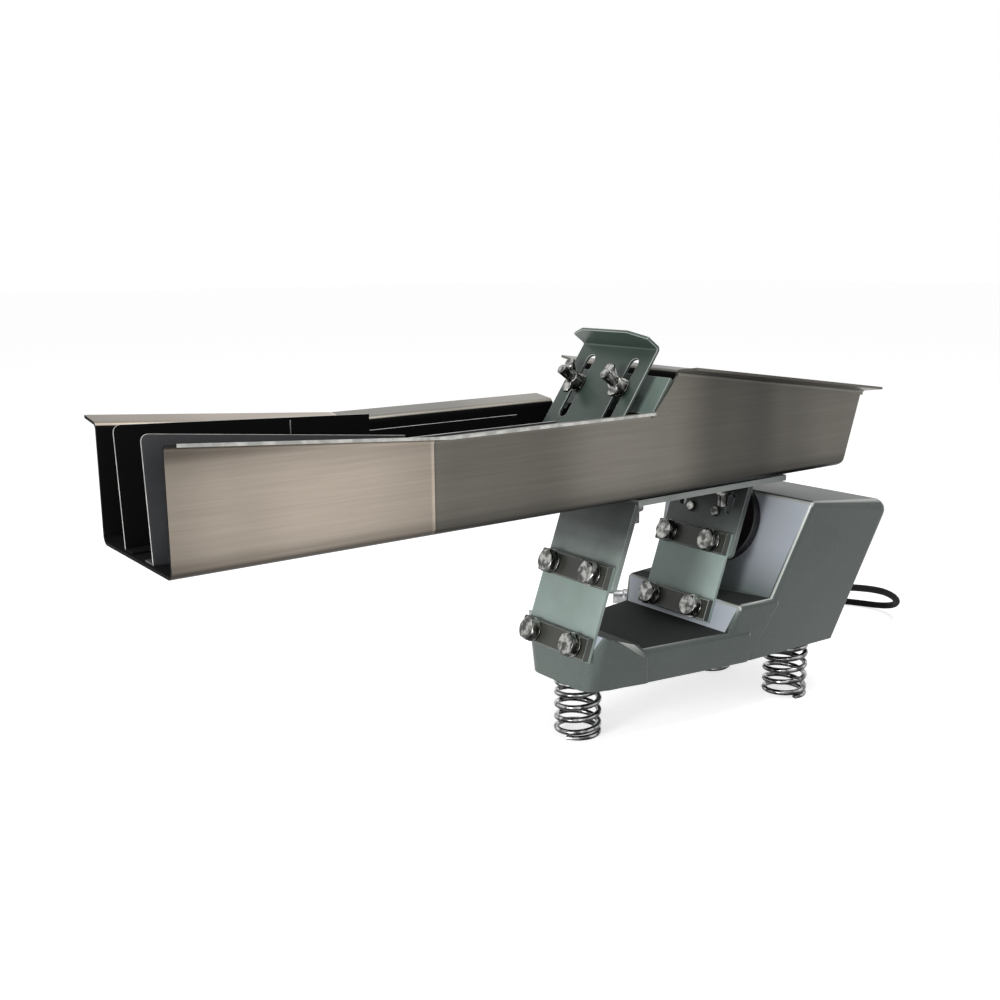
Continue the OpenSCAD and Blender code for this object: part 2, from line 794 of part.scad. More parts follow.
// A flange along one run of the wall's top, from p to q, cut upright at both ends
module flange(p, q, side) {
    d = q - p;
    mirror([0, side > 0 ? 1 : 0, 0]) intersection() {
        translate([p[0], -flange_r - trough_w / 2, p[1]]) rotate([0, -atan2(d[1], d[0]), 0])
            rotate([90, 0, 90]) translate([0, 0, -past]) linear_extrude(norm(d) + 2 * past) flange_section();
        translate([p[0], -trough_w, 0]) cube([d[0], trough_w, 2 * trough_z]);
    }
}

// The bend takes the wall's edge into it, so it is a hair thicker than the wall
module flange_section() {
    r1 = flange_r - hem;
    r2 = flange_r + sheet_t + hem;
    turn = 90 - flange_rise;
    way = (flange_w - r2) * [-sin(turn), cos(turn)];
    inner = arc([0, 0], r1, 0, turn);
    outer = arc([0, 0], r2, turn, 0);
    polygon(concat([[r2, -sheet_t / 2], [r1, -sheet_t / 2]], inner, [inner[len(inner) - 1] + way, outer[0] + way],
        outer));
}

// A trough of sheet: the space inside one side view and the end view, less that of the inset ones
module folded(a, b) {
    difference() {
        intersection() {
            across(2 * trough_w) children(0);
            along(a, b) end_view(0);
        }
        intersection() {
            across(2 * trough_w) children(1);
            along(a - 2 * past, b + 2 * past) end_view(sheet_t);
        }
    }
}

module trough_body() {
    top = trough_z - drop;
    seam = [seam_x, top + wall_h];
    foot = [step_x - 4, top + wall_h];
    crest = [step_top_x, top + hopper_front_h];
    corner = [rear_at(hopper_rear_h - drop), top + hopper_rear_h];
    rear = corner + flange_r * unit(corner - crest);
    color(sheet_right) difference() {
        from_front() union() {
            folded(seam_x, tower_tip) {
                body_outline(0);
                body_outline(sheet_t);
            }
            for (side = [-1, 1]) {
                flange(seam, foot, side);
                flange(crest, rear, side);
            }
        }
        at_trough_bolts(trough_z - 1) cylinder(d = trough_bolt_d + 2 * bolt_gap, h = sheet_t + 2);
    }
}

module trough_discharge_section() {
    top = trough_z - drop;
    strap = sheet_t + 1.2;
    color(sheet_left) from_front() {
        folded(-overhang, seam_x) {
            discharge_outline(0);
            discharge_outline(sheet_t);
        }
        difference() {
            intersection() {
                along(seam_x - strap_w / 2, seam_x + strap_w / 2) end_view(sheet_t);
                translate([seam_x - strap_w, -trough_w / 2, trough_z]) cube([2 * strap_w, trough_w, wall_h - drop - sheet_t]);
            }
            along(seam_x - strap_w, seam_x + strap_w) end_view(strap);
        }
        for (side = [-1, 1]) flange([-overhang, top + discharge_h], [seam_x, top + wall_h], side);
    }
}

// A divider stands on its foot; its top follows the walls and its front corner is round
module lane_divider(side) {
    front = -overhang + 2;
    low = lane_floor;
    clear_strap = 1.2 + sheet_t;
    front_top = trough_z + discharge_h - drop - 2 * (discharge_h - wall_h) / discharge_len;
    color(divider_steel) from_front() translate([0, side * lane_gap / 2, 0]) {
        difference() {
            union() {
                across(divider_t) difference() {
                    polygon([
                        [front, low], [divider_stop, low], [divider_stop, trough_z + wall_h - drop],
                        [seam_x, trough_z + wall_h - drop], [front, front_top]
                    ]);
                    translate([front - 1, front_top - divider_r]) square([divider_r + 1, divider_r + 1]);
                }
                translate([front + divider_r, divider_t / 2, front_top - divider_r]) rotate([90, 0, 0])
                    cylinder(r = divider_r, h = divider_t);
                translate([front, side > 0 ? -divider_foot : 0, low])
                    cube([divider_stop - front, divider_foot, divider_t]);
            }
            translate([seam_x - strap_w / 2 - 1, -divider_foot - 1, low - 1])
                cube([strap_w + 2, 2 * divider_foot + 2, clear_strap]);
        }
    }
}

module lane_divider_near() {
    lane_divider(-1);
}

module lane_divider_far() {
    lane_divider(1);
}

// The hopper's front plate, with a tab folded back along each wall
module hopper_front_plate() {
    inner = trough_w - 2 * sheet_t - 0.4;
    tall = front_plate_high - front_plate_low;
    color(plate_green) on_gate() translate([gate_ahead, 0, front_plate_low]) difference() {
        union() {
            translate([0, -inner / 2, 0]) cube([front_plate_t, inner, tall]);
            pair(inner - front_plate_t) translate([0, -front_plate_t / 2, 0]) cube([12, front_plate_t, tall]);
        }
        translate([0, 0, stud_up - front_plate_low]) pair(slot_gap) rod(stud_d, -1, front_plate_t + 1);
    }
}

// Each stud has a shoulder that the gate bears on
module gate_studs() {
    color(zinc) on_gate() translate([0, 0, stud_up]) pair(slot_gap) {
        rod(stud_d, -stud_out, gate_ahead + front_plate_t + 1);
        rod(stud_d + 6, gate_t + gate_gap, gate_ahead);
    }
}

module gate_plate() {
    low = -gate_down;
    slot_low = stud_up - 26.5;
    outer = gate_w / 2;
    color(gate_green) on_gate() {
        difference() {
            translate([0, -outer, low]) cube([gate_t, gate_w, gate_up + gate_down - lip_r]);
            pair(slot_gap) translate([0, 0, slot_low]) {
                rod(slot_w, -1, gate_t + 1);
                translate([0, 0, slot_len]) rod(slot_w, -1, gate_t + 1);
                translate([-1, -slot_w / 2, 0]) cube([gate_t + 2, slot_w, slot_len]);
            }
        }
        translate([gate_t - lip_r, 0, gate_up - lip_r]) across(gate_w) intersection() {
            difference() {
                circle(lip_r);
                circle(lip_r - gate_t);
            }
            square(lip_r + 1);
        }
        translate([gate_t - lip_r, 0, gate_up - gate_t]) linear_extrude(gate_t) polygon([
            [0, -outer], [0, outer], [lip_chamfer * 0.45 - lip_len, outer],
            [-lip_len, outer - lip_chamfer], [-lip_len, lip_chamfer - outer], [lip_chamfer * 0.45 - lip_len, -outer]
        ]);
    }
}

module gate_washers() {
    color(zinc) on_gate() translate([0, 0, stud_up]) pair(slot_gap) difference() {
        rod(2 * stud_d, -hub_seat, -gate_gap);
        rod(stud_d + 2 * bolt_gap, -hub_seat - 1, 0);
    }
}

// A wing nut: a tapered hub and two wings that lean outwards
module wing_nut(side, turn) {
    hub_h = stud_d;
    wing_r = 4.5;
    color(zinc) on_gate() translate([-hub_seat, side * slot_gap / 2, stud_up]) rotate([turn, 0, 0]) difference() {
        union() {
            rotate([0, -90, 0]) cylinder(d1 = stud_d * 1.9, d2 = stud_d * 1.5, h = hub_h);
            for (s = [-1, 1]) hull() {
                translate([-2.5, s * 4, 0]) rotate([0, -90, 0]) cylinder(d = 4, h = hub_h - 2.5, $fn = 16);
                translate([-hub_h - 3, s * (wing_span / 2 - wing_r), 0]) rotate([90, 0, 90])
                    cylinder(r = wing_r, h = 2.4, center = true, $fn = 24);
            }
        }
        rod(stud_d + 0.1, -hub_h - 10, 1);
    }
}

module wing_nut_near() {
    wing_nut(-1, near_wing_turn);
}

module wing_nut_far() {
    wing_nut(1, far_wing_turn);
}

module magnet_housing() {
    rim = 1.2;
    color(magnet_black) on_rear_leaf(magnet_up) translate([magnet_space, 0, 0]) rotate([0, -90, 0])
        rotate_extrude() polygon([
            [0, 0], [magnet_d / 2, 0], [magnet_d / 2, magnet_t - rim], [magnet_d / 2 - rim, magnet_t], [0, magnet_t]
        ]);
}

// A round-cornered slab that stands across the magnet's axis
module coil_slab(a, b, width, height, r) {
    translate([a, -width / 2 + r, -height / 2]) cube([b - a, width - 2 * r, height]);
    translate([a, -width / 2, -height / 2 + r]) cube([b - a, width, height - 2 * r]);
    for (up = [-1, 1]) translate([0, 0, up * (height / 2 - r)]) pair(width - 2 * r) rod(2 * r, a, b);
}

module magnet_coil() {
    color(copper) on_rear_leaf(coil_up) difference() {
        coil_slab(coil_face, coil_back, coil_w, coil_h, 6);
        translate([coil_front, -coil_w / 4, -coil_h / 4]) cube([coil_back, coil_w / 2, coil_h / 2]);
    }
}

module magnet_core() {
    color(core_steel) on_rear_leaf(coil_up) translate([coil_front, -coil_w / 4, -coil_h / 4])
        cube([coil_back - coil_front, coil_w / 2, coil_h / 2]);
}

module armature() {
    color(core_steel) on_rear_leaf(coil_up) difference() {
        translate([bracket_t, -coil_w / 2, -coil_h / 2]) cube([armature_t, coil_w, coil_h]);
        pair(screw_gap) rod(screw_d + bolt_gap, 0, bracket_t + armature_t + 1);
    }
}

module armature_screws() {
    color(zinc) on_rear_leaf(coil_up) pair(screw_gap) {
        rod(screw_d, 0, bracket_t + armature_t);
        mirror([1, 0, 0]) hexagon(1.6 * screw_d, 0.7 * screw_d);
    }
}

module at_gland() {
    from_front() translate([gland_x, 0, gland_z]) rotate([0, lean, 0]) children();
}

module cable_gland() {
    color(magnet_black) at_gland() difference() {
        union() {
            rod(gland_d, -casting_wall - 6, 0);
            hexagon(gland_d * 1.35, 6);
            rotate([0, 90, 0]) rotate_extrude() polygon([
                [0, 6], [gland_d * 0.62, 6], [gland_d * 0.62, 13], [gland_d * 0.5, 18], [gland_d * 0.34, gland_len],
                [0, gland_len]
            ]);
        }
        rod(cable_d, -casting_wall - 7, gland_len + 1);
    }
}

module gland_nut() {
    color(magnet_black) at_gland() translate([-casting_wall - 5, 0, 0]) difference() {
        hexagon(gland_d * 1.35, 4.5);
        rod(gland_d, -1, 6);
    }
}

// A tube swept along a route; each ring stands square to the way there
module cable_along(route) {
    sides = 10;
    last = len(route) - 1;
    tube([for (i = [0:last]) let(
            way = unit(route[min(i + 1, last)] - route[max(i - 1, 0)]),
            left = unit(cross([0, 0, 1], way)), up = cross(way, left))
        [for (j = [0:sides - 1]) let(a = 360 * j / sides)
            route[i] + cable_r * (cos(a) * left + sin(a) * up)]]);
}

module cable() {
    color(cable_black) cable_along(cable_route);
}

module cable_tail() {
    color(cable_black) cable_along(tail_route);
}

module cable_coil() {
    color(cable_black) translate([coil_at[0], coil_at[1], coil_z]) rotate_extrude() translate([coil_r, 0]) union() {
        square([coil_w_in - cable_d, coil_w_up], center = true);
        square([coil_w_in, coil_w_up - cable_d], center = true);
        for (x = [-1, 1], y = [-1, 1])
            translate([x * (coil_w_in - cable_d) / 2, y * (coil_w_up - cable_d) / 2]) circle(cable_r, $fn = 24);
    }
}

module cable_tie() {
    color(magnet_black) translate([coil_at[0], coil_at[1] + coil_r, coil_z]) difference() {
        coil_slab(-2.5, 2.5, coil_w_in + 2 * tie_t, coil_w_up + 2 * tie_t, cable_r + tie_t);
        coil_slab(-3.5, 3.5, coil_w_in, coil_w_up, cable_r);
    }
}

module connector() {
    color(magnet_black) translate([plug_at[0], plug_at[1], plug_r]) rotate([0, 0, plug_turn]) rotate([0, 90, 0])
        rotate_extrude() polygon([
            [0, 0], [5, 0], [5.5, 10], [7, 13], [7, 16], [plug_r, 16], [plug_r, 30], [7.5, 31], [7.5, 42], [0, 42]
        ]);
}

base_casting();
support_spring_front();
support_spring_rear_near();
support_spring_rear_far();
front_leaf_spring();
rear_leaf_spring();
front_lower_clamp();
front_upper_clamp();
rear_lower_clamp();
rear_upper_clamp();
front_lower_washers();
front_upper_washers();
rear_lower_washers();
rear_upper_washers();
front_lower_bolts();
front_upper_bolts();
rear_lower_bolts();
rear_upper_bolts();
front_upper_nuts();
rear_upper_nuts();
trough_bracket();
trough_spacers();
trough_bolts();
trough_washers();
trough_nuts();
trough_discharge_section();
trough_body();
lane_divider_near();
lane_divider_far();
hopper_front_plate();
gate_studs();
gate_plate();
gate_washers();
wing_nut_near();
wing_nut_far();
magnet_housing();
magnet_coil();
magnet_core();
armature();
armature_screws();
cable_gland();
gland_nut();
cable();
cable_coil();
cable_tie();
cable_tail();
connector();
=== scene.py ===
import json
import math

import bmesh
import bpy
from mathutils import Matrix, Vector


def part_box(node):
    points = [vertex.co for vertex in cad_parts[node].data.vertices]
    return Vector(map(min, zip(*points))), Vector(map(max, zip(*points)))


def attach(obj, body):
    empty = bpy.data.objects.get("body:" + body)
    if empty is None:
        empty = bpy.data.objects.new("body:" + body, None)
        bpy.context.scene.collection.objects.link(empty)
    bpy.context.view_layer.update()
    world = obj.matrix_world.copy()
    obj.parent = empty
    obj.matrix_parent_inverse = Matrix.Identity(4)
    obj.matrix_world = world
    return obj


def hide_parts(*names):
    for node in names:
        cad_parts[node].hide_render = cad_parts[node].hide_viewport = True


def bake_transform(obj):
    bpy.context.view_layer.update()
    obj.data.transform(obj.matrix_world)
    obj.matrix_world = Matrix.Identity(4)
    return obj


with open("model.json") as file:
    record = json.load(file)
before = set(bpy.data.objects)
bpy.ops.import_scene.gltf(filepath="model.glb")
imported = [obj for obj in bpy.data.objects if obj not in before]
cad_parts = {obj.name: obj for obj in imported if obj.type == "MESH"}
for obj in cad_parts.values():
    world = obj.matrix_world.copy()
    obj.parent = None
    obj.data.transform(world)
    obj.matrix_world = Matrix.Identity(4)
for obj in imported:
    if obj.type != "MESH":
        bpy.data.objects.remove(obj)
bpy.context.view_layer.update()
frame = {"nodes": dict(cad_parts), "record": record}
nodes = frame["nodes"]
mm = 0.001
print("frame loaded:", len(nodes), "nodes")


# camera off the near corner of the discharge end, looking a little down on the trough
cameraView = {"place": (-0.5587, -0.6921, 0.3861), "yaw": 36.71, "pitch": 11.71, "roll": -0.44,
              "lens": 41.86, "sensor": 36}


def setCamera(view):
    data = bpy.data.cameras.new("camera")
    data.lens = view["lens"]
    data.sensor_width = view["sensor"]
    camera = bpy.data.objects.new("camera", data)
    yaw = Matrix.Rotation(-math.radians(view["yaw"]), 4, "Z")
    pitch = Matrix.Rotation(math.radians(90 - view["pitch"]), 4, "X")
    roll = Matrix.Rotation(math.radians(view["roll"]), 4, "Z")
    camera.matrix_world = Matrix.Translation(view["place"]) @ yaw @ pitch @ roll
    bpy.context.collection.objects.link(camera)
    bpy.context.scene.camera = camera


setCamera(cameraView)


def hexColour(text):
    parts = [int(text[i:i + 2], 16) / 255 for i in (1, 3, 5)]
    linear = [c / 12.92 if c <= 0.04045 else ((c + 0.055) / 1.055) ** 2.4 for c in parts]
    return (*linear, 1.0)


# a new node with its settings; each input is a socket to link, a hex colour or a plain value
def addNode(tree, kind, inputs=None, **settings):
    node = tree.nodes.new(kind)
    for key, value in settings.items():
        setattr(node, key, value)
    for key, value in (inputs or {}).items():
        if isinstance(value, bpy.types.NodeSocket):
            tree.links.new(value, node.inputs[key])
        else:
            node.inputs[key].default_value = hexColour(value) if isinstance(value, str) else value
    return node


def newFinish(name, colour, roughness, metallic=0.0):
    material = bpy.data.materials.new(name)
    material.use_nodes = True
    tree = material.node_tree
    shader = tree.nodes["Principled BSDF"]
    shader.inputs["Base Color"].default_value = hexColour(colour)
    shader.inputs["Roughness"].default_value = roughness
    shader.inputs["Metallic"].default_value = metallic
    return material, tree, shader


# where a pattern lies on a piece, turned first; cell is its size in millimetres along each axis
def placedCoords(tree, cell, turn=(0, 0, 0)):
    where = addNode(tree, "ShaderNodeTexCoord").outputs["Object"]
    turned = addNode(tree, "ShaderNodeMapping", {"Vector": where, "Rotation": turn}).outputs[0]
    scale = [1 / (size * mm) for size in cell]
    return addNode(tree, "ShaderNodeMapping", {"Vector": turned, "Scale": scale}).outputs[0]


# multiplies a colour by a grey that changes along an axis, given as (place, factor) pairs
def toneAlong(tree, colour, axis, stops, source="Object", unit=mm):
    where = addNode(tree, "ShaderNodeTexCoord").outputs[source]
    place = addNode(tree, "ShaderNodeSeparateXYZ", {0: where}).outputs[axis]
    first, last = stops[0][0], stops[-1][0]
    way = addNode(tree, "ShaderNodeMapRange",
                  {"Value": place, "From Min": first * unit, "From Max": last * unit}).outputs[0]
    ramp = addNode(tree, "ShaderNodeValToRGB", {0: way})
    ramp.color_ramp.interpolation = "EASE"
    while len(ramp.color_ramp.elements) < len(stops):
        ramp.color_ramp.elements.new(0.5)
    for element, (at, factor) in zip(ramp.color_ramp.elements, stops):
        element.position = (at - first) / (last - first)
        element.color = (factor, factor, factor, 1)
    return addNode(tree, "ShaderNodeMix", {0: 1.0, 6: colour, 7: ramp.outputs[0]},
                   data_type="RGBA", blend_type="MULTIPLY").outputs[2]


# the last step of each finish: its colour, a roughness that follows a pattern and relief from another;
# roughness is (low, high), bump is (strength, depth in millimetres), matt is added to the roughness
def surfaceFrom(tree, shader, colour, wear=None, roughness=None, relief=None, bump=None, matt=None):
    tree.links.new(colour, shader.inputs["Base Color"])
    if wear is not None:
        low, high = roughness
        rough = addNode(tree, "ShaderNodeMapRange",
                        {"Value": wear, "To Min": low, "To Max": high}).outputs[0]
        if matt is not None:
            rough = addNode(tree, "ShaderNodeMath", {0: rough, 1: matt}, operation="ADD").outputs[0]
        tree.links.new(rough, shader.inputs["Roughness"])
    if relief is not None:
        strength, depth = bump
        raised = addNode(tree, "ShaderNodeBump",
                         {"Height": relief, "Strength": strength, "Distance": depth * mm})
        tree.links.new(raised.outputs[0], shader.inputs["Normal"])


# stainless sheet with a long-grain brushed finish: fine streaks along the feed, broad soft clouds
brushed = {"grainCell": (55, 1.1, 1.1), "streakCell": (85, 2.4, 2.4), "cloudCell": (95, 120, 150),
           "streakShare": 0.35, "cloudShare": 0.65, "cloudTones": {"From Min": 0.36, "From Max": 0.68},
           "grainTones": {"To Min": 0.86, "To Max": 1.12}, "roughness": (0.30, 0.44),
           "bump": (0.25, 0.03)}


def brushedSheet(name, light, dark, shade):
    b = brushed
    material, tree, shader = newFinish(name, light, 0.36, 1.0)
    patterns = []
    for cell, detail in ((b["grainCell"], 3.0), (b["streakCell"], 2.0), (b["cloudCell"], 1.5)):
        noise = addNode(tree, "ShaderNodeTexNoise",
                        {"Scale": 1.0, "Detail": detail, "Vector": placedCoords(tree, cell)})
        patterns.append(noise.outputs[0])
    grain, streak, cloud = patterns
    streaks = addNode(tree, "ShaderNodeMath", {0: streak, 1: b["streakShare"]}, operation="MULTIPLY")
    both = addNode(tree, "ShaderNodeMath", {0: cloud, 1: b["cloudShare"], 2: streaks.outputs[0]},
                   operation="MULTIPLY_ADD")
    tone = addNode(tree, "ShaderNodeMapRange", {"Value": both.outputs[0], **b["cloudTones"]})
    colour = addNode(tree, "ShaderNodeMix", {0: tone.outputs[0], 6: dark, 7: light},
                     data_type="RGBA").outputs[2]
    colour = shade(tree, colour)
    fine = addNode(tree, "ShaderNodeMapRange", {"Value": grain, **b["grainTones"]}).outputs[0]
    grey = addNode(tree, "ShaderNodeCombineColor", {0: fine, 1: fine, 2: fine}).outputs[0]
    colour = addNode(tree, "ShaderNodeMix", {0: 1.0, 6: colour, 7: grey},
                     data_type="RGBA", blend_type="MULTIPLY").outputs[2]
    surfaceFrom(tree, shader, colour, grain, b["roughness"], grain, b["bump"])
    return material


# painted light and shade on the sheet: painted reflection lighter and darker along the feed with a bright
# line at the seam, painted shade up from the bend under the floor, and painted shadow below the flanges
sheetLightAndShade = {
    "discharge": [(-323, 0.52), (-285, 0.66), (-240, 0.8), (-195, 0.76), (-144, 0.62), (-142.2, 0.88),
                  (-141, 0.88)],
    "body": [(-141, 0.34), (-139, 0.5), (-122, 0.48), (-50, 0.42), (10, 0.68), (75, 0.62), (133, 0.3),
             (180, 0.24), (215, 0.36), (275, 0.5), (310, 0.52)],
    "bend": [(204.4, 0.08), (207, 0.2), (211, 0.62), (219, 0.92), (230, 1.0)],
    "shadowUnderFlange": [(258, 1.0), (270, 0.88), (279, 0.42), (400, 0.42)],
}


def troughLightAndShade(along, paintedTopLight, shadowUnderFlange=None):
    def shade(tree, colour):
        colour = toneAlong(tree, colour, 0, along)
        colour = toneAlong(tree, colour, 2, sheetLightAndShade["bend"])
        # painted light: faces that look up are drawn lighter
        paintedTopLightStops = [(-1, 1.0), (0.4, 1.0), (0.8, paintedTopLight), (1, paintedTopLight)]
        colour = toneAlong(tree, colour, 2, paintedTopLightStops, "Normal", 1)
        return toneAlong(tree, colour, 2, shadowUnderFlange) if shadowUnderFlange else colour
    return shade


# stoving enamel sprayed on sheet and bar: even colour with soft clouds, faint orange peel
sprayed = {"cloudCell": (38, 38, 38), "cloudTones": {"From Min": 0.32, "From Max": 0.68},
           "roughness": (0.34, 0.5), "peelStrength": 0.35}


def enamel(name, colour, deep, peelSize, peelDepth, roughness=sprayed["roughness"],
           heights=None, along=None):
    material, tree, shader = newFinish(name, colour, 0.4)
    peel = addNode(tree, "ShaderNodeTexNoise", {"Scale": 1.0, "Detail": 2.0,
                                                "Vector": placedCoords(tree, [peelSize] * 3)})
    cloud = addNode(tree, "ShaderNodeTexNoise", {"Scale": 1.0, "Detail": 3.0,
                                                 "Vector": placedCoords(tree, sprayed["cloudCell"])})
    tone = addNode(tree, "ShaderNodeMapRange", {"Value": cloud.outputs[0], **sprayed["cloudTones"]})
    painted = addNode(tree, "ShaderNodeMix", {0: tone.outputs[0], 6: deep, 7: colour},
                      data_type="RGBA").outputs[2]
    if heights:
        painted = toneAlong(tree, painted, 2, heights)
    if along:
        painted = toneAlong(tree, painted, 0, along)
    surfaceFrom(tree, shader, painted, cloud.outputs[0], roughness, peel.outputs[0],
                (sprayed["peelStrength"], peelDepth))
    return material


# hammered enamel on cast iron: shallow dimples a few millimetres wide; a painted highlight with wear
# makes the edges light, painted light makes the faces that lean with the springs paler, and painted shade
# darkens the near side, the tops, the faces that look down and the valley's low floor; the colour gets a
# little darker towards the top
hammered = {"colour": "#5C6661", "deep": "#505B56", "spark": "#788183", "highlightAndWear": "#C2C5C0",
            "milled": "#BEC4CE", "valleyShade": "#101213", "lean": 20, "roughness": (0.34, 0.48),
            "dimpleCell": (2.6, 2.6, 2.6), "cloudCell": (55, 55, 55), "fleckCell": (1.3, 1.3, 1.3),
            "cloudTones": {"From Min": 0.3, "From Max": 0.7},
            "sparkShare": {"From Min": 0.45, "From Max": 0.8, "To Max": 0.35},
            "heights": [(49, 0.95), (110, 0.92), (185, 0.9)],
            "shadedNearSide": [(-1, 0.68), (-0.85, 0.68), (-0.5, 1.0), (1, 1.0)],
            "shadedTopsAndUndersides": [(-1, 0.7), (0.2, 1.0), (0.75, 1.0), (1, 0.55)],
            "valleyShadeBelow": {"From Min": 0.125, "From Max": 0.105},
            "valleyShadeLevel": {"From Min": 0.86, "From Max": 0.97}, "valleyShadeShare": 0.94, "valleyShadeMatt": 0.45,
            "milledWithin": {"From Min": 0.955, "From Max": 0.99, "To Max": 0.8}, "highlightAndWearShare": 0.9,
            "bump": (0.25, 0.1)}


def hammeredEnamel(name):
    h = hammered
    material, tree, shader = newFinish(name, h["colour"], 0.42, 0.15)
    dimple = addNode(tree, "ShaderNodeTexVoronoi", {"Scale": 1.0, "Randomness": 1.0,
                                                    "Vector": placedCoords(tree, h["dimpleCell"])},
                     feature="SMOOTH_F1")
    cloud = addNode(tree, "ShaderNodeTexNoise", {"Scale": 1.0, "Detail": 3.0,
                                                 "Vector": placedCoords(tree, h["cloudCell"])})
    fleck = addNode(tree, "ShaderNodeTexNoise", {"Scale": 1.0, "Detail": 2.0,
                                                 "Vector": placedCoords(tree, h["fleckCell"])})
    tone = addNode(tree, "ShaderNodeMapRange", {"Value": cloud.outputs[0], **h["cloudTones"]})
    painted = addNode(tree, "ShaderNodeMix", {0: tone.outputs[0], 6: h["deep"], 7: h["colour"]},
                      data_type="RGBA").outputs[2]
    spark = addNode(tree, "ShaderNodeMapRange", {"Value": fleck.outputs[0], **h["sparkShare"]})
    painted = addNode(tree, "ShaderNodeMix", {0: spark.outputs[0], 6: painted, 7: h["spark"]},
                      data_type="RGBA").outputs[2]
    painted = toneAlong(tree, painted, 2, h["heights"])
    # painted shade: the near side, the tops and the faces that look down are drawn darker
    painted = toneAlong(tree, painted, 1, h["shadedNearSide"], "Normal", 1)
    painted = toneAlong(tree, painted, 2, h["shadedTopsAndUndersides"], "Normal", 1)
    # painted shade where the floor is low and level, under the trough, which is also made more matt there
    where = addNode(tree, "ShaderNodeTexCoord").outputs
    height = addNode(tree, "ShaderNodeSeparateXYZ", {0: where["Object"]}).outputs[2]
    upright = addNode(tree, "ShaderNodeSeparateXYZ", {0: where["Normal"]}).outputs[2]
    low = addNode(tree, "ShaderNodeMapRange", {"Value": height, **h["valleyShadeBelow"]})
    level = addNode(tree, "ShaderNodeMapRange", {"Value": upright, **h["valleyShadeLevel"]})
    shadedValley = addNode(tree, "ShaderNodeMath", {0: low.outputs[0], 1: level.outputs[0]},
                      operation="MULTIPLY").outputs[0]
    share = addNode(tree, "ShaderNodeMath", {0: shadedValley, 1: h["valleyShadeShare"]}, operation="MULTIPLY")
    painted = addNode(tree, "ShaderNodeMix", {0: share.outputs[0], 6: painted, 7: h["valleyShade"]},
                      data_type="RGBA").outputs[2]
    # painted light: paler where a face looks along the springs' normal
    lean = math.radians(h["lean"])
    square = addNode(tree, "ShaderNodeVectorMath",
                     {0: where["Normal"], 1: (-math.cos(lean), 0, math.sin(lean))},
                     operation="DOT_PRODUCT")
    leaning = addNode(tree, "ShaderNodeMapRange", {"Value": square.outputs["Value"], **h["milledWithin"]})
    painted = addNode(tree, "ShaderNodeMix", {0: leaning.outputs[0], 6: painted, 7: h["milled"]},
                      data_type="RGBA").outputs[2]
    # painted highlight with wear: paler along the rounded edges
    edge = addNode(tree, "ShaderNodeAttribute", attribute_name="edge")
    thin = addNode(tree, "ShaderNodeMath", {0: edge.outputs["Fac"], 1: h["highlightAndWearShare"]},
                   operation="MULTIPLY")
    painted = addNode(tree, "ShaderNodeMix", {0: thin.outputs[0], 6: painted, 7: h["highlightAndWear"]},
                      data_type="RGBA").outputs[2]
    matt = addNode(tree, "ShaderNodeMath", {0: shadedValley, 1: h["valleyShadeMatt"]}, operation="MULTIPLY")
    surfaceFrom(tree, shader, painted, cloud.outputs[0], h["roughness"], dimple.outputs[0], h["bump"],
                matt.outputs[0])
    return material


# zinc plated or polished steel: bright, with soft duller patches, and painted shade on the faces that
# look down
def platedSteel(name, colour, dull, roughness, patchSize, under=1.0):
    material, tree, shader = newFinish(name, colour, 0.25, 1.0)
    placed = placedCoords(tree, [patchSize] * 3)
    noise = addNode(tree, "ShaderNodeTexNoise", {"Scale": 1.0, "Detail": 3.0, "Vector": placed})
    patch = noise.outputs[0]
    tone = addNode(tree, "ShaderNodeMapRange", {"Value": patch, "From Min": 0.42, "From Max": 0.6})
    plated = addNode(tree, "ShaderNodeMix", {0: tone.outputs[0], 6: dull, 7: colour},
                     data_type="RGBA").outputs[2]
    paintedShadeBelow = [(-1, under), (-0.1, under), (0.5, 1.0), (1, 1.0)]
    plated = toneAlong(tree, plated, 2, paintedShadeBelow, "Normal", 1)
    surfaceFrom(tree, shader, plated, patch, roughness)
    return material


# epoxy glass laminate: glossy pale green resin over a plain weave, drawn 1.6 mm coarse so that it shows;
# painted light makes the rear leaf paler
woven = {"threadCell": (1.6, 1.6, 1.6), "cloudCell": (30, 30, 30), "lean": 20, "thread": "#B9C6C0",
         "threadShare": 0.035, "cloudTones": {"From Min": 0.3, "From Max": 0.7},
         "along": [(20, 1.0), (120, 1.0), (160, 1.3)], "roughness": (0.26, 0.38), "bump": (0.08, 0.02)}


def laminateSheet(name, colour, deep):
    w = woven
    material, tree, shader = newFinish(name, colour, 0.3)
    turned = placedCoords(tree, w["threadCell"], turn=(0, -math.radians(w["lean"]), 0))
    weave = addNode(tree, "ShaderNodeTexChecker", {"Scale": 1.0, "Color1": "#FFFFFF", "Color2": "#000000",
                                                   "Vector": turned}).outputs[1]
    cloud = addNode(tree, "ShaderNodeTexNoise", {"Scale": 1.0, "Detail": 2.0,
                                                 "Vector": placedCoords(tree, w["cloudCell"])}).outputs[0]
    tone = addNode(tree, "ShaderNodeMapRange", {"Value": cloud, **w["cloudTones"]})
    resin = addNode(tree, "ShaderNodeMix", {0: tone.outputs[0], 6: deep, 7: colour},
                    data_type="RGBA").outputs[2]
    # painted light: the rear leaf, shaded under the trough, is drawn lighter
    resin = toneAlong(tree, resin, 0, w["along"])
    soft = addNode(tree, "ShaderNodeMath", {0: weave, 1: w["threadShare"]}, operation="MULTIPLY")
    resin = addNode(tree, "ShaderNodeMix", {0: soft.outputs[0], 6: resin, 7: w["thread"]},
                    data_type="RGBA").outputs[2]
    surfaceFrom(tree, shader, resin, cloud, w["roughness"], weave, w["bump"])
    return material


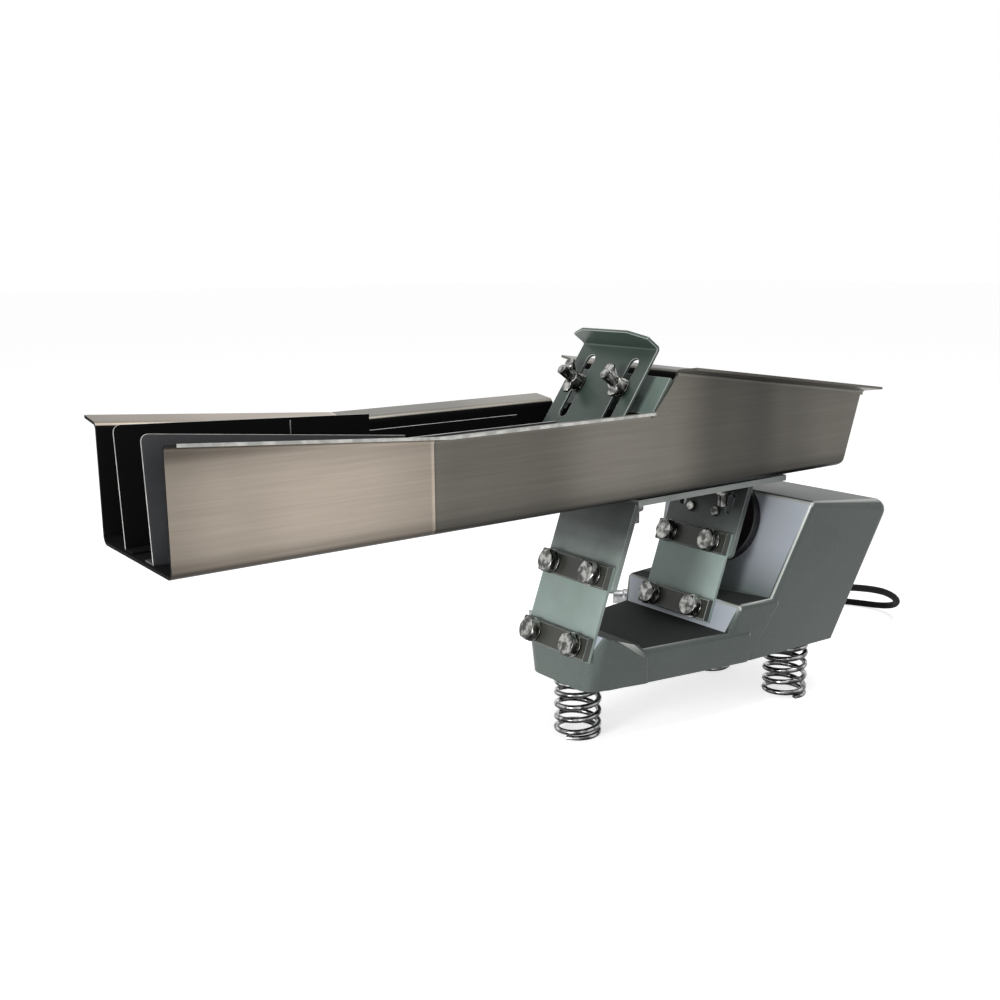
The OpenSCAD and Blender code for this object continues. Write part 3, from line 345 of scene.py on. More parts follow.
# moulded plastic, rubber sheath or coated sheet with a fine satin grain, grainSize in millimetres
def mouldedBlack(name, colour, roughness, grainSize=0.8, light="#1E1E20", gloss=0.35):
    material, tree, shader = newFinish(name, colour, roughness)
    shader.inputs["Specular IOR Level"].default_value = gloss
    fine = addNode(tree, "ShaderNodeTexNoise", {"Scale": 1.0, "Detail": 2.0,
                                                "Vector": placedCoords(tree, [grainSize] * 3)}).outputs[0]
    tinted = addNode(tree, "ShaderNodeMix", {0: fine, 6: colour, 7: light}, data_type="RGBA").outputs[2]
    surfaceFrom(tree, shader, tinted, fine, (roughness - 0.06, roughness + 0.08), fine, (0.2, 0.02))
    return material


# stripes for layers or turns; a wave repeats about 3.2 times in its cell of so many millimetres
layered = {
    "core": {"deep": "#3E3F40", "light": "#8A8B8C", "cell": (6.3, 6.3, 6.3), "lean": 0,
             "distortion": 0.0, "along": "Y", "bump": (0.3, 0.05)},
    "winding": {"deep": "#3A1B10", "light": "#8A4A2A", "cell": (9, 9, 9), "lean": 20,
                "distortion": 0.4, "along": "X", "bump": (0.4, 0.15)},
}


# electrical steel laminations of 0.5 mm, or enamelled copper wire under varnish: both stand side by
# side and are drawn 2 to 3 mm apart, as coarse as they need to show
def layeredFinish(name, colour, roughness, metallic, s):
    material, tree, shader = newFinish(name, colour, roughness, metallic)
    turned = placedCoords(tree, s["cell"], turn=(0, -math.radians(s["lean"]), 0))
    stripe = addNode(tree, "ShaderNodeTexWave",
                     {"Scale": 1.0, "Distortion": s["distortion"], "Vector": turned},
                     bands_direction=s["along"]).outputs[1]
    striped = addNode(tree, "ShaderNodeMix", {0: stripe, 6: s["deep"], 7: s["light"]},
                      data_type="RGBA").outputs[2]
    surfaceFrom(tree, shader, striped, relief=stripe, bump=s["bump"])
    return material


# painted shade on the legs under the trough and painted light lower down, and painted shade on the rear
# leg
legShadeAndLight = [(130, 2.2), (151, 2.1), (166, 1.0), (179, 0.42), (200, 0.32)]  # darker under the trough
rearLegShade = [(60, 1.0), (92, 0.62)]
# painted light on the gate's lip
gateLipLight = [(280, 1.0), (318, 1.0), (325, 1.5)]  # paler at the lip

finishes = {
    "casting": hammeredEnamel("hammeredEnamelGrey"),
    "bracket": enamel("satinEnamelGrey", "#69716E", "#515955", 1.6, 0.05, (0.34, 0.5),
                      legShadeAndLight, rearLegShade),
    "gate": enamel("darkGreenEnamel", "#3E4B45", "#34403A", 1.4, 0.04, (0.3, 0.42), gateLipLight),
    "hopperPlate": enamel("lightGreenEnamel", "#6E7C76", "#5F6D67", 1.4, 0.04, (0.32, 0.45)),
    "clamp": enamel("darkOliveEnamel", "#3C3E37", "#2D2F29", 0.9, 0.04, (0.3, 0.45)),
    # both sheets carry painted reflection along the feed, painted shade at the bend and painted light on
    # faces that look up; the discharge length also carries a painted shadow under its flange
    "dischargeSheet": brushedSheet("brushedStainlessWarm", "#C2B6A8", "#B0A598",
                                   troughLightAndShade(sheetLightAndShade["discharge"], 2.2, sheetLightAndShade["shadowUnderFlange"])),
    "troughSheet": brushedSheet("brushedStainlessGrey", "#96928A", "#87837B",
                                troughLightAndShade(sheetLightAndShade["body"], 1.5)),
    # painted shade: black for the lanes' insides, which lie in shade and reflect dark
    "laneShade": mouldedBlack("blackLaneShade", "#020202", 0.8, 1.2, "#050505", 0.1),
    # painted shade and dark reflection: the near divider's face in dark grey
    "divider": enamel("darkGreyDividerShade", "#48494C", "#3C3D40", 1.6, 0.03, (0.4, 0.55)),
    # painted shade on the faces that look down, strongest on the spring wire
    "zinc": platedSteel("zincPlatedSteel", "#BDBDB9", "#5C5C5A", (0.14, 0.28), 5.5, 0.3),
    "spring": platedSteel("polishedSpringSteel", "#C6C7C7", "#5A5B5B", (0.12, 0.24), 7, 0.1),
    "bareEdge": platedSteel("sheetCutEdge", "#C4C4C0", "#A2A29E", (0.25, 0.4), 9),
    # painted highlight with wear: a paler finish on broken edges
    "edgeHighlightAndWear": enamel("wornAndHighlightEdge", "#A6ACA8", "#8F9692", 1.2, 0.03),
    "laminate": laminateSheet("epoxyGlassLaminate", "#93A39E", "#86968F"),
    "magnet": mouldedBlack("blackPhenolicMoulding", "#0F0F13", 0.42, 0.8, "#17171C"),
    "core": layeredFinish("laminatedCoreSteel", "#6E6F70", 0.45, 1.0, layered["core"]),
    "winding": layeredFinish("varnishedCopperWinding", "#5A2E1C", 0.35, 0.3, layered["winding"]),
    "nylon": mouldedBlack("blackNylon", "#151516", 0.45),
    "sheath": mouldedBlack("blackCableSheath", "#040404", 0.72, 1.5, "#080808", 0.1),
    "plug": platedSteel("satinAluminiumShell", "#A9AAAC", "#8C8D8F", (0.3, 0.42), 4),
}
print("finishes made:", len(finishes))


# how a copy of a frame node is merged, how its sharp edges are broken, and where its shading splits
surface = {"mergeWithin": 0.004, "flatWithin": 0.6, "sharpAbove": 32, "edgeSegments": 2, "smoothUpTo": 38}


def placePiece(name, bm, finish, body=None, stands=(), smoothUpTo=surface["smoothUpTo"],
               weighted=True):
    for face in bm.faces:
        face.smooth = True
    mesh = bpy.data.meshes.new(name)
    bm.to_mesh(mesh)
    bm.free()
    mesh.set_sharp_from_angle(angle=math.radians(smoothUpTo))
    names = finish if isinstance(finish, (list, tuple)) else [finish]
    for one in names:
        mesh.materials.append(finishes[one])
    piece = bpy.data.objects.new(name, mesh)
    bpy.context.collection.objects.link(piece)
    if weighted:
        modifier = piece.modifiers.new("faceWeight", "WEIGHTED_NORMAL")
        modifier.keep_sharp = True
    if body:
        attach(piece, body)
    if stands:
        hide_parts(*stands)
    return piece


def mergedCopy(name):
    bm = bmesh.new()
    bm.from_mesh(nodes[name].data)
    bmesh.ops.remove_doubles(bm, verts=bm.verts, dist=surface["mergeWithin"] * mm)
    bmesh.ops.dissolve_degenerate(bm, dist=surface["mergeWithin"] * mm, edges=bm.edges)
    bmesh.ops.dissolve_limit(bm, angle_limit=math.radians(surface["flatWithin"]), verts=bm.verts,
                             edges=bm.edges)
    return bm


# takes the sharp edges off, as deburring or a coat of paint does
def breakEdges(bm, width, edgeIndex=None):
    sharp = [e for e in bm.edges
             if len(e.link_faces) == 2 and e.calc_face_angle(0) > math.radians(surface["sharpAbove"])]
    made = bmesh.ops.bevel(bm, geom=sharp, offset=width * mm, offset_type="OFFSET",
                           segments=surface["edgeSegments"], profile=0.5, affect="EDGES",
                           clamp_overlap=True, material=-1)
    if edgeIndex is not None:
        for face in made["faces"]:
            face.material_index = edgeIndex


def bodyOf(name):
    bodies = frame["record"]["behaviour"]["bodies"]
    return next(body for body, members in bodies.items() if name in members)


def dressNode(name, finish, width):
    bm = mergedCopy(name)
    breakEdges(bm, width, edgeIndex=1 if isinstance(finish, tuple) else None)
    return placePiece(name + "_finished", bm, finish, bodyOf(name), [name])


# the pieces that keep their frame shape: finish, or finish and a paler edge finish of painted highlight
# and wear, and the edge's width
dressed = {
    "hopper_front_plate": (("hopperPlate", "edgeHighlightAndWear"), 0.5),
    "gate_plate": (("gate", "edgeHighlightAndWear"), 0.55),
    "magnet_housing": ("magnet", 0.3),
    "magnet_coil": ("winding", 0.8),
    "magnet_core": ("core", 0.3),
    "armature": ("core", 0.4),
    "armature_screws": ("zinc", 0.2),
    "trough_spacers": ("zinc", 0.3),
    "trough_washers": ("zinc", 0.2),
    "trough_nuts": ("zinc", 0.3),
    "gate_washers": ("zinc", 0.25),
    "gate_studs": ("zinc", 0.3),
    "trough_bolts": ("zinc", 0.3),
    "cable_gland": ("nylon", 0.4),
    "gland_nut": ("nylon", 0.4),
}
for end in ("front", "rear"):
    for level in ("lower", "upper"):
        dressed[f"{end}_{level}_clamp"] = (("clamp", "edgeHighlightAndWear"), 0.45)
        dressed[f"{end}_{level}_washers"] = ("zinc", 0.3)
        dressed[f"{end}_{level}_bolts"] = ("zinc", 0.4)
    dressed[f"{end}_upper_nuts"] = ("zinc", 0.4)

finished = {name: dressNode(name, finish, width) for name, (finish, width) in dressed.items()}
print("frame pieces dressed:", len(finished))


# the base casting: its front boss falls back to the valley in one ramp, and its rounded edges are marked
# for a painted highlight with wear; lengths are in millimetres from its front end, heights from the floor
casting = {"lean": 20.0, "seatAt": (3.5, 84.6), "seatFoot": 75.2, "seatTop": 96.5,
           "rampEnd": (56.0, 79.06), "clearFrom": -6, "clearTo": (80.0, 120.0), "halfWidth": 100.0,
           "relief": 0.05, "weldWithin": 0.01,
           "edge": 1.6, "edgeSegments": 3, "edgeAbove": 15, "longerThan": 3, "below": 2,
           "sideways": 0.8, "stripLong": 25.0, "stripWide": 1.4,
           "flatWithin": 12.0,  # degrees from one of the directions that the casting's flat faces look in
           "flatFaces": [
               (0.6, -0.8, 0.0), (-0.9975, -0.0713, 0.0), (-0.3743, -0.9273, 0.0),
               (-0.0787, -0.7898, 0.6084), (-0.1484, 0.901, -0.4077), (0.9762, -0.0962, 0.1942),
               (-0.9397, 0.0, 0.342), (0.0705, 0.7159, 0.6946), (-0.1484, -0.901, -0.4077),
               (0.0962, 0.9762, -0.1942), (-0.7669, 0.6294, 0.1256), (0.0, 0.0, -1.0),
               (0.0962, 0.9762, 0.1942), (0.1068, 0.1633, 0.9808), (-0.4714, 0.8818, 0.0134),
               (-0.872, 0.4895, 0.0), (0.4488, 0.8396, -0.3059), (0.9999, -0.013, 0.0),
               (-0.1292, 0.9748, -0.1818), (-0.7071, -0.7071, 0.0), (-0.1717, -0.9647, -0.1998),
               (-0.8964, -0.4432, 0.0), (0.0583, -0.9874, -0.1474), (0.8911, 0.2703, -0.3645),
               (0.8905, 0.455, 0.0), (0.5993, 0.8005, 0.0), (0.9397, 0.0, -0.342),
               (-0.0961, -0.9954, 0.0), (0.5547, 0.0546, 0.8302), (0.8315, 0.0, 0.5556),
               (-0.1951, 0.0, 0.9808), (0.342, 0.0, 0.9397)]}


def bossCutter(front, c):
    slope = math.tan(math.radians(c["lean"]))

    def seat(z):
        return c["seatAt"][0] + (z - c["seatAt"][1]) * slope - c["relief"]

    profile = [(c["clearFrom"], c["seatFoot"]), (seat(c["seatFoot"]), c["seatFoot"]),
               (seat(c["seatTop"]), c["seatTop"]), c["rampEnd"], (c["clearTo"][0], c["rampEnd"][1]),
               c["clearTo"], (c["clearFrom"], c["clearTo"][1])]
    bm = bmesh.new()
    corners = [bm.verts.new((front + x * mm, -c["halfWidth"] * mm, z * mm)) for x, z in profile]
    end = bm.faces.new(corners)
    swept = bmesh.ops.extrude_face_region(bm, geom=[end])
    far = [g for g in swept["geom"] if isinstance(g, bmesh.types.BMVert)]
    bmesh.ops.translate(bm, verts=far, vec=(0, 2 * c["halfWidth"] * mm, 0))
    bmesh.ops.recalc_face_normals(bm, faces=bm.faces)
    mesh = bpy.data.meshes.new("bossCutter")
    bm.to_mesh(mesh)
    bm.free()
    cutter = bpy.data.objects.new("bossCutter", mesh)
    bpy.context.collection.objects.link(cutter)
    return cutter


# writes 1 at the middle of every rounded edge and 0 where it meets a flat face; the directions of the
# flat faces are given, because the order of the cut casting's faces changes from run to run
def markEdges(mesh, c):
    limit = math.cos(math.radians(c["flatWithin"]))
    directions = [Vector(way) for way in c["flatFaces"]]
    bm = bmesh.new()
    bm.from_mesh(mesh)
    flat = {face.index for face in bm.faces if any(face.normal.dot(way) > limit for way in directions)}
    values = [0.0 if any(face.index in flat for face in v.link_faces) else 1.0 for v in bm.verts]
    bm.free()
    attribute = mesh.attributes.new("edge", "FLOAT", "POINT")
    attribute.data.foreach_set("value", values)


# narrow strips where two blocks meet in one side would catch the light as lines
def closeSlivers(bm, c):
    short = set()
    for face in bm.faces:
        lengths = [e.calc_length() for e in face.edges]
        if abs(face.normal.y) > c["sideways"] and max(lengths) > c["stripLong"] * mm:
            short.update(e for e, size in zip(face.edges, lengths) if size < c["stripWide"] * mm)
    bmesh.ops.collapse(bm, edges=list(short), uvs=False)
    bmesh.ops.dissolve_degenerate(bm, dist=c["weldWithin"] * mm, edges=bm.edges)


def cutCasting(name, c):
    piece = placePiece(name + "_finished", mergedCopy(name), "casting", weighted=False)
    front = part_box(name)[0].x
    cutter = bossCutter(front, c)
    cut = piece.modifiers.new("boss", "BOOLEAN")
    cut.object = cutter
    cut.operation = "DIFFERENCE"
    cut.solver = "EXACT"
    bpy.context.view_layer.update()
    depsgraph = bpy.context.evaluated_depsgraph_get()
    carved = bpy.data.meshes.new_from_object(piece.evaluated_get(depsgraph))
    piece.modifiers.clear()
    bpy.data.objects.remove(cutter)
    bm = bmesh.new()
    bm.from_mesh(carved)
    bpy.data.meshes.remove(carved)
    bmesh.ops.remove_doubles(bm, verts=bm.verts, dist=c["weldWithin"] * mm)
    bmesh.ops.dissolve_limit(bm, angle_limit=math.radians(surface["flatWithin"]), verts=bm.verts,
                             edges=bm.edges)
    behind = front + c["clearTo"][0] * mm
    under = c["seatFoot"] * mm - c["below"] * mm
    sharp = [e for e in bm.edges
             if len(e.link_faces) == 2 and e.calc_face_angle(0) > math.radians(c["edgeAbove"])
             and all(v.co.x < behind and v.co.z > under for v in e.verts)
             and e.calc_length() > c["longerThan"] * mm]
    bmesh.ops.bevel(bm, geom=sharp, offset=c["edge"] * mm, offset_type="OFFSET",
                    segments=c["edgeSegments"], profile=0.5, affect="EDGES", clamp_overlap=True,
                    material=-1)
    closeSlivers(bm, c)
    for face in bm.faces:
        face.smooth = True
    bm.to_mesh(piece.data)
    bm.free()
    piece.data.set_sharp_from_angle(angle=math.radians(surface["smoothUpTo"]))
    markEdges(piece.data, c)
    soft = piece.modifiers.new("faceWeight", "WEIGHTED_NORMAL")
    soft.keep_sharp = True
    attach(piece, bodyOf(name))
    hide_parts(name)
    return piece


# the bracket under the trough: its plate's long edges are sheared, and a painted highlight shows them
# lighter than its faces
bracket = {"edge": 0.8, "plateDeep": 6, "sideways": 0.9}


def dressBracket(name, s):
    bm = mergedCopy(name)
    breakEdges(bm, s["edge"], edgeIndex=1)
    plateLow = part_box(name)[1].z - s["plateDeep"] * mm
    for face in bm.faces:
        if abs(face.normal.y) > s["sideways"] and face.calc_center_median().z > plateLow:
            face.material_index = 1
    looks = ["bracket", "edgeHighlightAndWear"]
    return placePiece(name + "_finished", bm, looks, bodyOf(name), [name])


finished["trough_bracket"] = dressBracket("trough_bracket", bracket)
finished["base_casting"] = cutCasting("base_casting", casting)
print("base casting cut")


# lane dividers: thin plates on a flat foot, taller than the walls up to the seam in the trough, with
# bright cut edges and a thin upright joint on the far one; the near one is painted dark grey and the far
# one black, painted shade of the lanes
divider = {"thickness": 1.5, "corner": 5.0, "cornerSteps": 6, "frontTop": 287.3, "lean": 2.4,
           "seamTop": {"lane_divider_near": 269.0, "lane_divider_far": 278.9},
           "edge": 0.3, "sideways": 0.8, "brightAbove": 3,
           "jointAt": -203.0, "jointWidth": 0.9, "jointProud": 0.15, "jointRaised": 1}


def makeDivider(name, s):
    low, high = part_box(name)
    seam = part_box("trough_body")[0].x
    near = name.endswith("near")
    plateY = low.y if near else high.y - s["thickness"] * mm
    rearTop = max(v.co.z for v in nodes[name].data.vertices if v.co.x > high.x - 0.1 * mm)
    seamTop = s["seamTop"][name] * mm
    bm = bmesh.new()
    outline = [(low.x, low.z), (high.x, low.z), (high.x, rearTop), (seam, rearTop),
               (seam, seamTop), (low.x - s["lean"] * mm, s["frontTop"] * mm)]
    corners = [bm.verts.new((x, plateY, z)) for x, z in outline]
    bm.faces.new(corners)
    bmesh.ops.bevel(bm, geom=[corners[-1]], offset=s["corner"] * mm, offset_type="OFFSET",
                    segments=s["cornerSteps"], profile=0.5, affect="VERTICES", material=-1)
    swept = bmesh.ops.extrude_face_region(bm, geom=list(bm.faces))
    moved = [g for g in swept["geom"] if isinstance(g, bmesh.types.BMVert)]
    bmesh.ops.translate(bm, verts=moved, vec=(0, s["thickness"] * mm, 0))
    foot = high.y - low.y
    size = Matrix.Diagonal((high.x - low.x, foot, s["thickness"] * mm, 1))
    centre = Vector(((low.x + high.x) / 2, (low.y + high.y) / 2, low.z + s["thickness"] / 2 * mm))
    bmesh.ops.create_cube(bm, size=1, matrix=Matrix.Translation(centre) @ size)
    bmesh.ops.recalc_face_normals(bm, faces=bm.faces)
    breakEdges(bm, s["edge"])
    brightFrom = low.z + s["brightAbove"] * mm
    for face in bm.faces:
        cutEdge = abs(face.normal.y) < s["sideways"] and face.calc_center_median().z > brightFrom
        face.material_index = 1 if cutEdge else 0
    if not near:
        tall = seamTop - low.z
        strip = Matrix.Diagonal((s["jointWidth"] * mm, 2 * s["jointProud"] * mm, tall, 1))
        at = Vector((s["jointAt"] * mm, plateY, low.z + tall / 2 + s["jointRaised"] * mm))
        joint = bmesh.ops.create_cube(bm, size=1, matrix=Matrix.Translation(at) @ strip)
        for face in {f for v in joint["verts"] for f in v.link_faces}:
            face.material_index = 1
    finish = ["divider" if near else "laneShade", "bareEdge"]
    return placePiece(name + "_sheet", bm, finish, bodyOf(name), [name])


for name in ("lane_divider_near", "lane_divider_far"):
    finished[name] = makeDivider(name, divider)
print("lane dividers made")


# the trough's two lengths of sheet: brushed outside, painted black inside for the shade and dark
# reflection in the lanes, with a painted highlight on the bare cut edges of the rims as far as
# highlightTo
sheet = {"edge": 0.45, "inside": 58.2, "floor": 9, "rearFrom": 280, "rim": 0.8, "highlightTo": 42,
         "faceUp": 0.5, "faceForward": -0.5, "faceOut": 0.3}


def dressSheet(name, outside, s):
    bm = mergedCopy(name)
    near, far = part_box(name)
    middle = (near + far) / 2
    half = (far.y - near.y) / 2
    breakEdges(bm, s["edge"])
    bmesh.ops.bisect_plane(bm, geom=[*bm.verts, *bm.edges, *bm.faces],
                           plane_co=(s["highlightTo"] * mm, 0, 0), plane_no=(1, 0, 0))
    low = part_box("trough_body")[0].z
    for face in bm.faces:
        centre = face.calc_center_median()
        inside = abs(centre.y) < s["inside"] * mm
        atRear = centre.x > s["rearFrom"] * mm
        # painted shade: the lanes' inner faces, their floor and their rear take the black finish
        inward = face.normal.y * (centre.y - middle.y) < 0 and inside
        overLanes = inside and centre.x < s["rearFrom"] * mm
        onFloor = face.normal.z > s["faceUp"] and (centre.z < low + s["floor"] * mm or overLanes)
        onRear = face.normal.x < s["faceForward"] and atRear and inside
        atRim = abs(centre.y - middle.y) > half - s["rim"] * mm and abs(face.normal.y) > s["faceOut"]
        # painted highlight: the rims' cut edges are bright only up to highlightTo
        cutEdge = atRim and centre.x < s["highlightTo"] * mm
        face.material_index = 1 if inward or onFloor or onRear else 2 if cutEdge else 0
    looks = [outside, "laneShade", "bareEdge"]
    return placePiece(name + "_finished", bm, looks, "trough", [name])


for name, outside in (("trough_discharge_section", "dischargeSheet"), ("trough_body", "troughSheet")):
    finished[name] = dressSheet(name, outside, sheet)
print("trough sheets dressed")


# support springs: ground ends, one dead turn at each end
coilSpring = {"wire": 4.7, "outside": 39.6, "turns": 3.6, "closedRise": 1.04, "endLow": 0.1,
              "sides": 14, "stepsPerTurn": 40, "smoothUpTo": 50,
              "startAngles": {"support_spring_front": 200, "support_spring_rear_near": 250,
                              "support_spring_rear_far": 140}}


def makeSpring(name, startAngle, s):
    low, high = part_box(name)
    centre = Vector(((low.x + high.x) / 2, (low.y + high.y) / 2, 0))
    tall = high.z
    wire = s["wire"] * mm
    meanR = (s["outside"] - s["wire"]) / 2 * mm
    rise = wire * s["closedRise"]
    bottom = wire * s["endLow"]
    bm = bmesh.new()
    turn = Matrix.Rotation(math.radians(startAngle), 4, "Z")
    upright = Matrix.Rotation(math.pi / 2, 4, "X")
    ring = Matrix.Translation(centre) @ turn @ Matrix.Translation((meanR, 0, bottom)) @ upright
    bmesh.ops.create_circle(bm, cap_ends=False, segments=s["sides"], radius=wire / 2, matrix=ring)
    tip = list(bm.edges)
    for turns, climb in ((1, rise), (s["turns"], tall - 2 * rise - 2 * bottom), (1, rise)):
        steps = round(turns * s["stepsPerTurn"])
        result = bmesh.ops.spin(bm, geom=tip, cent=centre, axis=(0, 0, 1), dvec=(0, 0, climb / steps),
                                angle=math.radians(360 * turns), steps=steps, use_merge=False,
                                use_duplicate=False)
        tip = [g for g in result["geom_last"] if isinstance(g, bmesh.types.BMEdge)]
    bmesh.ops.holes_fill(bm, edges=[e for e in bm.edges if e.is_boundary], sides=0)
    for height, up in ((0.0, -1), (tall, 1)):
        cut = bmesh.ops.bisect_plane(bm, geom=[*bm.verts, *bm.edges, *bm.faces], plane_co=(0, 0, height),
                                     plane_no=(0, 0, up), clear_outer=True)
        edges = [g for g in cut["geom_cut"] if isinstance(g, bmesh.types.BMEdge)]
        bmesh.ops.holes_fill(bm, edges=edges, sides=0)
    bmesh.ops.recalc_face_normals(bm, faces=bm.faces)
    spring = placePiece(name + "_wire", bm, "spring", None, [name], s["smoothUpTo"],
                        weighted=False)
    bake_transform(spring)
    return spring


for name, startAngle in coilSpring["startAngles"].items():
    finished[name] = makeSpring(name, startAngle, coilSpring)
print("support springs made")


# leaf springs: laminate strips between base and trough, cut into steps along their length
leaf = {"thickness": 3.0, "width": 80.0, "length": 78.0, "lean": 20.0, "bendSteps": 14, "edge": 0.35,
        "clamped": 20}


def makeLeaf(name, s):
    low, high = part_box(name)
    centre = (low + high) / 2
    bm = bmesh.new()
    size = Matrix.Diagonal((s["thickness"] * mm, s["width"] * mm, s["length"] * mm, 1))
    bmesh.ops.create_cube(bm, size=1, matrix=size)
    upright = [e for e in bm.edges if abs((e.verts[0].co - e.verts[1].co).z) > s["length"] / 2 * mm]
    bmesh.ops.subdivide_edges(bm, edges=upright, cuts=s["bendSteps"], use_grid_fill=True)
    breakEdges(bm, s["edge"])
    leaning = Matrix.Translation(centre) @ Matrix.Rotation(math.radians(s["lean"]), 4, "Y")
    bmesh.ops.transform(bm, verts=bm.verts, matrix=leaning)
    piece = placePiece(name + "_strip", bm, "laminate", None, [name])
    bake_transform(piece)
    return piece


for name in ("front_leaf_spring", "rear_leaf_spring"):
    finished[name] = makeLeaf(name, leaf)
print("leaf springs made")


# wing nuts: cast, with soft edges
wingNut = {"voxel": 0.42, "smoothing": 5, "softness": 0.5, "smoothUpTo": 60}


def makeWingNut(name, s):
    bm = bmesh.new()
    bm.from_mesh(nodes[name].data)
    bmesh.ops.remove_doubles(bm, verts=bm.verts, dist=surface["mergeWithin"] * mm)
    piece = placePiece(name + "_cast", bm, "zinc", smoothUpTo=s["smoothUpTo"], weighted=False)
    remesh = piece.modifiers.new("cast", "REMESH")
    remesh.mode = "VOXEL"
    remesh.voxel_size = s["voxel"] * mm
    remesh.use_smooth_shade = True
    bpy.context.view_layer.update()
    depsgraph = bpy.context.evaluated_depsgraph_get()
    dressedMesh = bpy.data.meshes.new_from_object(piece.evaluated_get(depsgraph))
    piece.modifiers.clear()
    soft = bmesh.new()
    soft.from_mesh(dressedMesh)
    for _ in range(s["smoothing"]):
        bmesh.ops.smooth_vert(soft, verts=soft.verts, factor=s["softness"], use_axis_x=True,
                              use_axis_y=True, use_axis_z=True)
    soft.to_mesh(piece.data)
    soft.free()
    bpy.data.meshes.remove(dressedMesh)
    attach(piece, bodyOf(name))
    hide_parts(name)
    return piece


for name in ("wing_nut_near", "wing_nut_far"):
    finished[name] = makeWingNut(name, wingNut)
print("wing nuts made")


# the cord: from the gland down to the floor, round behind the base into a tied coil, then its plug
cord = {
    "diameter": 7.0,
    "route": [
        (315.572, 0, 80.818), (333, 0.2, 74.8), (351, 0.5, 69.8), (369, 1, 65.6), (387, 1.6, 61.8),
        (405, 2.2, 58), (423, 2.8, 53.8), (441, 3.6, 49), (459, 5, 43.2), (476, 7.5, 36), (491.5, 12, 28),
        (504.5, 19.5, 20), (514, 30, 13), (519.5, 43, 8), (520.5, 57, 5.2), (517.5, 71, 4.2),
        (511.5, 84.5, 4), (503.5, 97.5, 4), (494.5, 110, 4), (485.5, 122.5, 4), (476.5, 135.5, 4.2),
        (465.3, 156.1, 4.4)],
    "tail": [(390, 201.2, 18.7), (377.5, 204, 16.4), (366.5, 208.5, 12.6), (356.5, 214.5, 9.6),
             (347.5, 220.5, 8.6), (339, 227.5, 8.5)],
    "coilAt": (410, 160), "startAngle": 30, "turns": 6.194, "widest": 49, "narrowest": 31, "pitch": 7.2,
    "layers": (4.6, 11.7, 18.8), "climb": 0.12, "pointsPerTurn": 16,
    "smoothSteps": 4, "sides": 14, "smoothUpTo": 60, "stillUpTo": 30, "belowExit": 4,
}


# flat spirals one above the other, wound inwards, outwards and inwards again
def coilPoints(c):
    points = []
    layerTurns = (c["widest"] - c["narrowest"]) / c["pitch"]
    count = round(c["turns"] * c["pointsPerTurn"])
    for i in range(count + 1):
        t = c["turns"] * i / count
        layer, share = int(t / layerTurns), t / layerTurns % 1
        inwards = layer % 2 == 0
        radius = c["widest"] - (c["widest"] - c["narrowest"]) * (share if inwards else 1 - share)
        height = c["layers"][0]
        for k in (1, 2):
            s = min(max((t - (k * layerTurns - c["climb"])) / (2 * c["climb"]), 0), 1)
            height += (c["layers"][k] - c["layers"][k - 1]) * s * s * (3 - 2 * s)
        angle = math.radians(c["startAngle"] + 360 * t)
        points.append((c["coilAt"][0] + radius * math.cos(angle),
                       c["coilAt"][1] + radius * math.sin(angle), height))
    return points


# a smooth curve through the points
def smoothLine(points, steps):
    p = [Vector(q) for q in points]
    p = [2 * p[0] - p[1], *p, 2 * p[-1] - p[-2]]
    line = []
    for i in range(1, len(p) - 2):
        for k in range(steps):
            t = k / steps
            a, b, c, d = p[i - 1:i + 3]
            line.append(0.5 * (2 * b + (c - a) * t + (2 * a - 5 * b + 4 * c - d) * t * t
                               + (3 * b - a - 3 * c + d) * t ** 3))
    return [*line, p[-2]]


def makeCord(c):
    line = [q * mm for q in smoothLine([*c["route"], *coilPoints(c), *c["tail"]], c["smoothSteps"])]
    radius = c["diameter"] / 2 * mm
    bm = bmesh.new()
    rings = []
    for i, point in enumerate(line):
        way = (line[min(i + 1, len(line) - 1)] - line[max(i - 1, 0)]).normalized()
        left = Vector((0, 0, 1)).cross(way).normalized()
        up = way.cross(left)
        square = Matrix((left, up, way)).transposed().to_4x4()
        made = bmesh.ops.create_circle(bm, cap_ends=i in (0, len(line) - 1), segments=c["sides"],
                                       radius=radius, matrix=Matrix.Translation(point) @ square)
        rings.append(made["verts"])
    for before, after in zip(rings, rings[1:]):
        for j in range(c["sides"]):
            k = (j + 1) % c["sides"]
            bm.faces.new((before[j], before[k], after[k], after[j]))
    bmesh.ops.recalc_face_normals(bm, faces=bm.faces)
    length = sum((b - a).length for a, b in zip(line, line[1:]))
    print("cord length:", round(length, 4), "m")
    piece = placePiece("feeder_cord", bm, "sheath", None,
                       ["cable", "cable_coil", "cable_tail"], c["smoothUpTo"], weighted=False)
    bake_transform(piece)
    return piece, line, length


finished["cable_tie"] = dressNode("cable_tie", "nylon", 0.25)
finished["connector"] = dressNode("connector", "plug", 0.4)
cordPiece, cordLine, cordLength = makeCord(cord)
print("cord made")


# pale floor and surround, a key lamp off the discharge end, a top lamp and a weak lamp for the edges
studio = {
    "floor": "#E9E9E9", "floorSize": 15, "floorRoughness": 0.9, "floorGlow": 0.7,
    "worldLight": 0.26, "backdrop": 1.0,
    "lamps": [  # name, place, aim, size in metres, watts
        ("keyLamp", (-2.2, -0.35, 0.6), (0.1, 0.0, 0.12), 0.9, 40),
        ("topLamp", (0.5, -0.4, 2.2), (0.05, 0.0, 0.1), 1.2, 18),
        ("edgeLamp", (-0.9, -1.5, 0.5), (0.1, 0.0, 0.12), 0.5, 2),
    ],
}


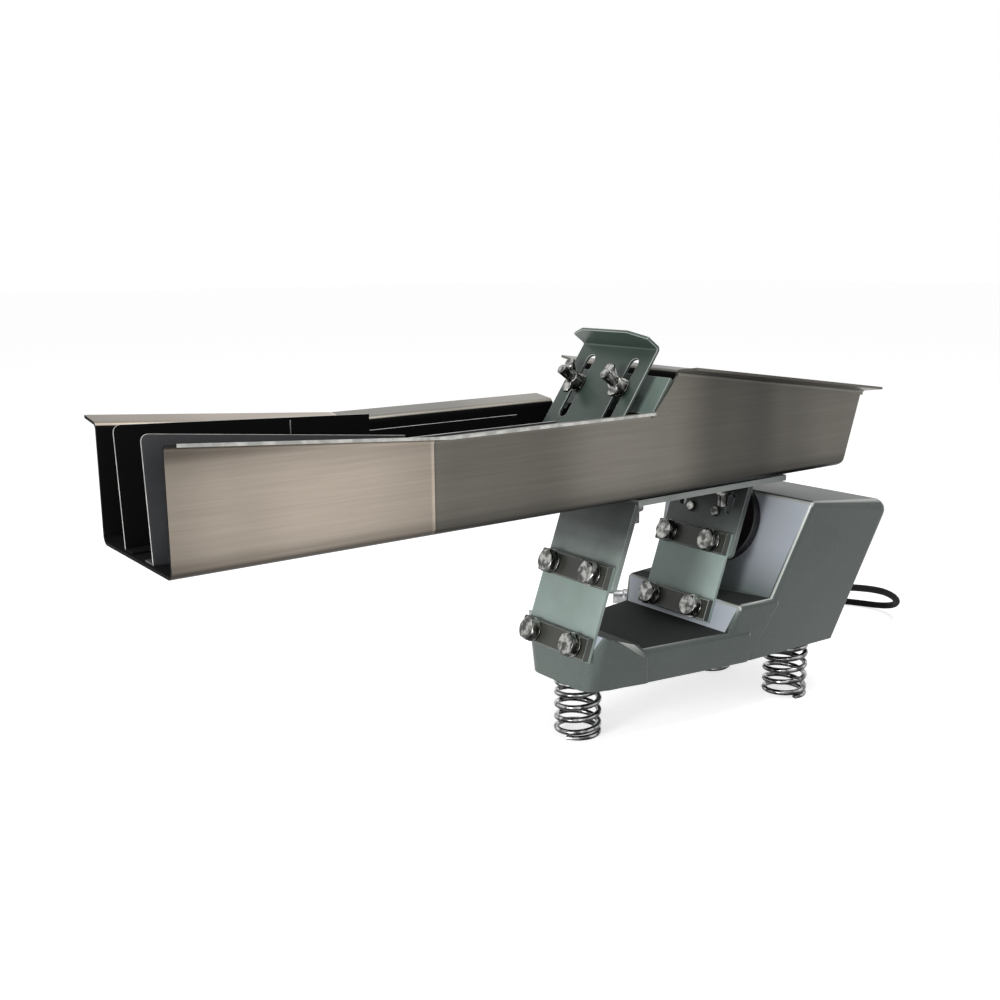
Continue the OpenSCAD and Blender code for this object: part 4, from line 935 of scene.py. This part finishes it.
# 1 where the camera or a reflection looks, 0 for the light that falls on the feeder
def seenDirectly(tree):
    seen = addNode(tree, "ShaderNodeLightPath").outputs
    return addNode(tree, "ShaderNodeMath", {0: seen["Is Camera Ray"], 1: seen["Is Glossy Ray"]},
                   operation="MAXIMUM").outputs[0]


def makeFloor(s):
    bm = bmesh.new()
    bmesh.ops.create_grid(bm, x_segments=1, y_segments=1, size=s["floorSize"])
    mesh = bpy.data.meshes.new("floor")
    bm.to_mesh(mesh)
    bm.free()
    floor = bpy.data.objects.new("floor", mesh)
    bpy.context.collection.objects.link(floor)
    material, tree, shader = newFinish("paleFloor", s["floor"], s["floorRoughness"])
    strength = addNode(tree, "ShaderNodeMath", {0: seenDirectly(tree), 1: s["floorGlow"]},
                       operation="MULTIPLY").outputs[0]
    glow = addNode(tree, "ShaderNodeEmission", {"Color": "#FFFFFF", "Strength": strength})
    both = addNode(tree, "ShaderNodeAddShader", {0: shader.outputs[0], 1: glow.outputs[0]})
    tree.links.new(both.outputs[0], tree.nodes["Material Output"].inputs["Surface"])
    mesh.materials.append(material)


def makeWorld(s):
    world = bpy.data.worlds.new("studio")
    world.use_nodes = True
    tree = world.node_tree
    back = tree.nodes["Background"]
    back.inputs["Color"].default_value = hexColour("#FFFFFF")
    strength = addNode(tree, "ShaderNodeMapRange",
                       {"Value": seenDirectly(tree), "To Min": s["worldLight"], "To Max": s["backdrop"]})
    tree.links.new(strength.outputs[0], back.inputs["Strength"])
    bpy.context.scene.world = world


def makeLamp(name, place, aim, size, watts):
    data = bpy.data.lights.new(name, "AREA")
    data.shape = "DISK"
    data.size = size
    data.energy = watts
    lamp = bpy.data.objects.new(name, data)
    lamp.location = place
    lamp.rotation_mode = "QUATERNION"
    lamp.rotation_quaternion = (Vector(aim) - Vector(place)).to_track_quat("-Z", "Y")
    bpy.context.collection.objects.link(lamp)


makeFloor(studio)
makeWorld(studio)
for lampValues in studio["lamps"]:
    makeLamp(*lampValues)
bpy.context.scene.view_settings.view_transform = "Standard"
print("studio set")
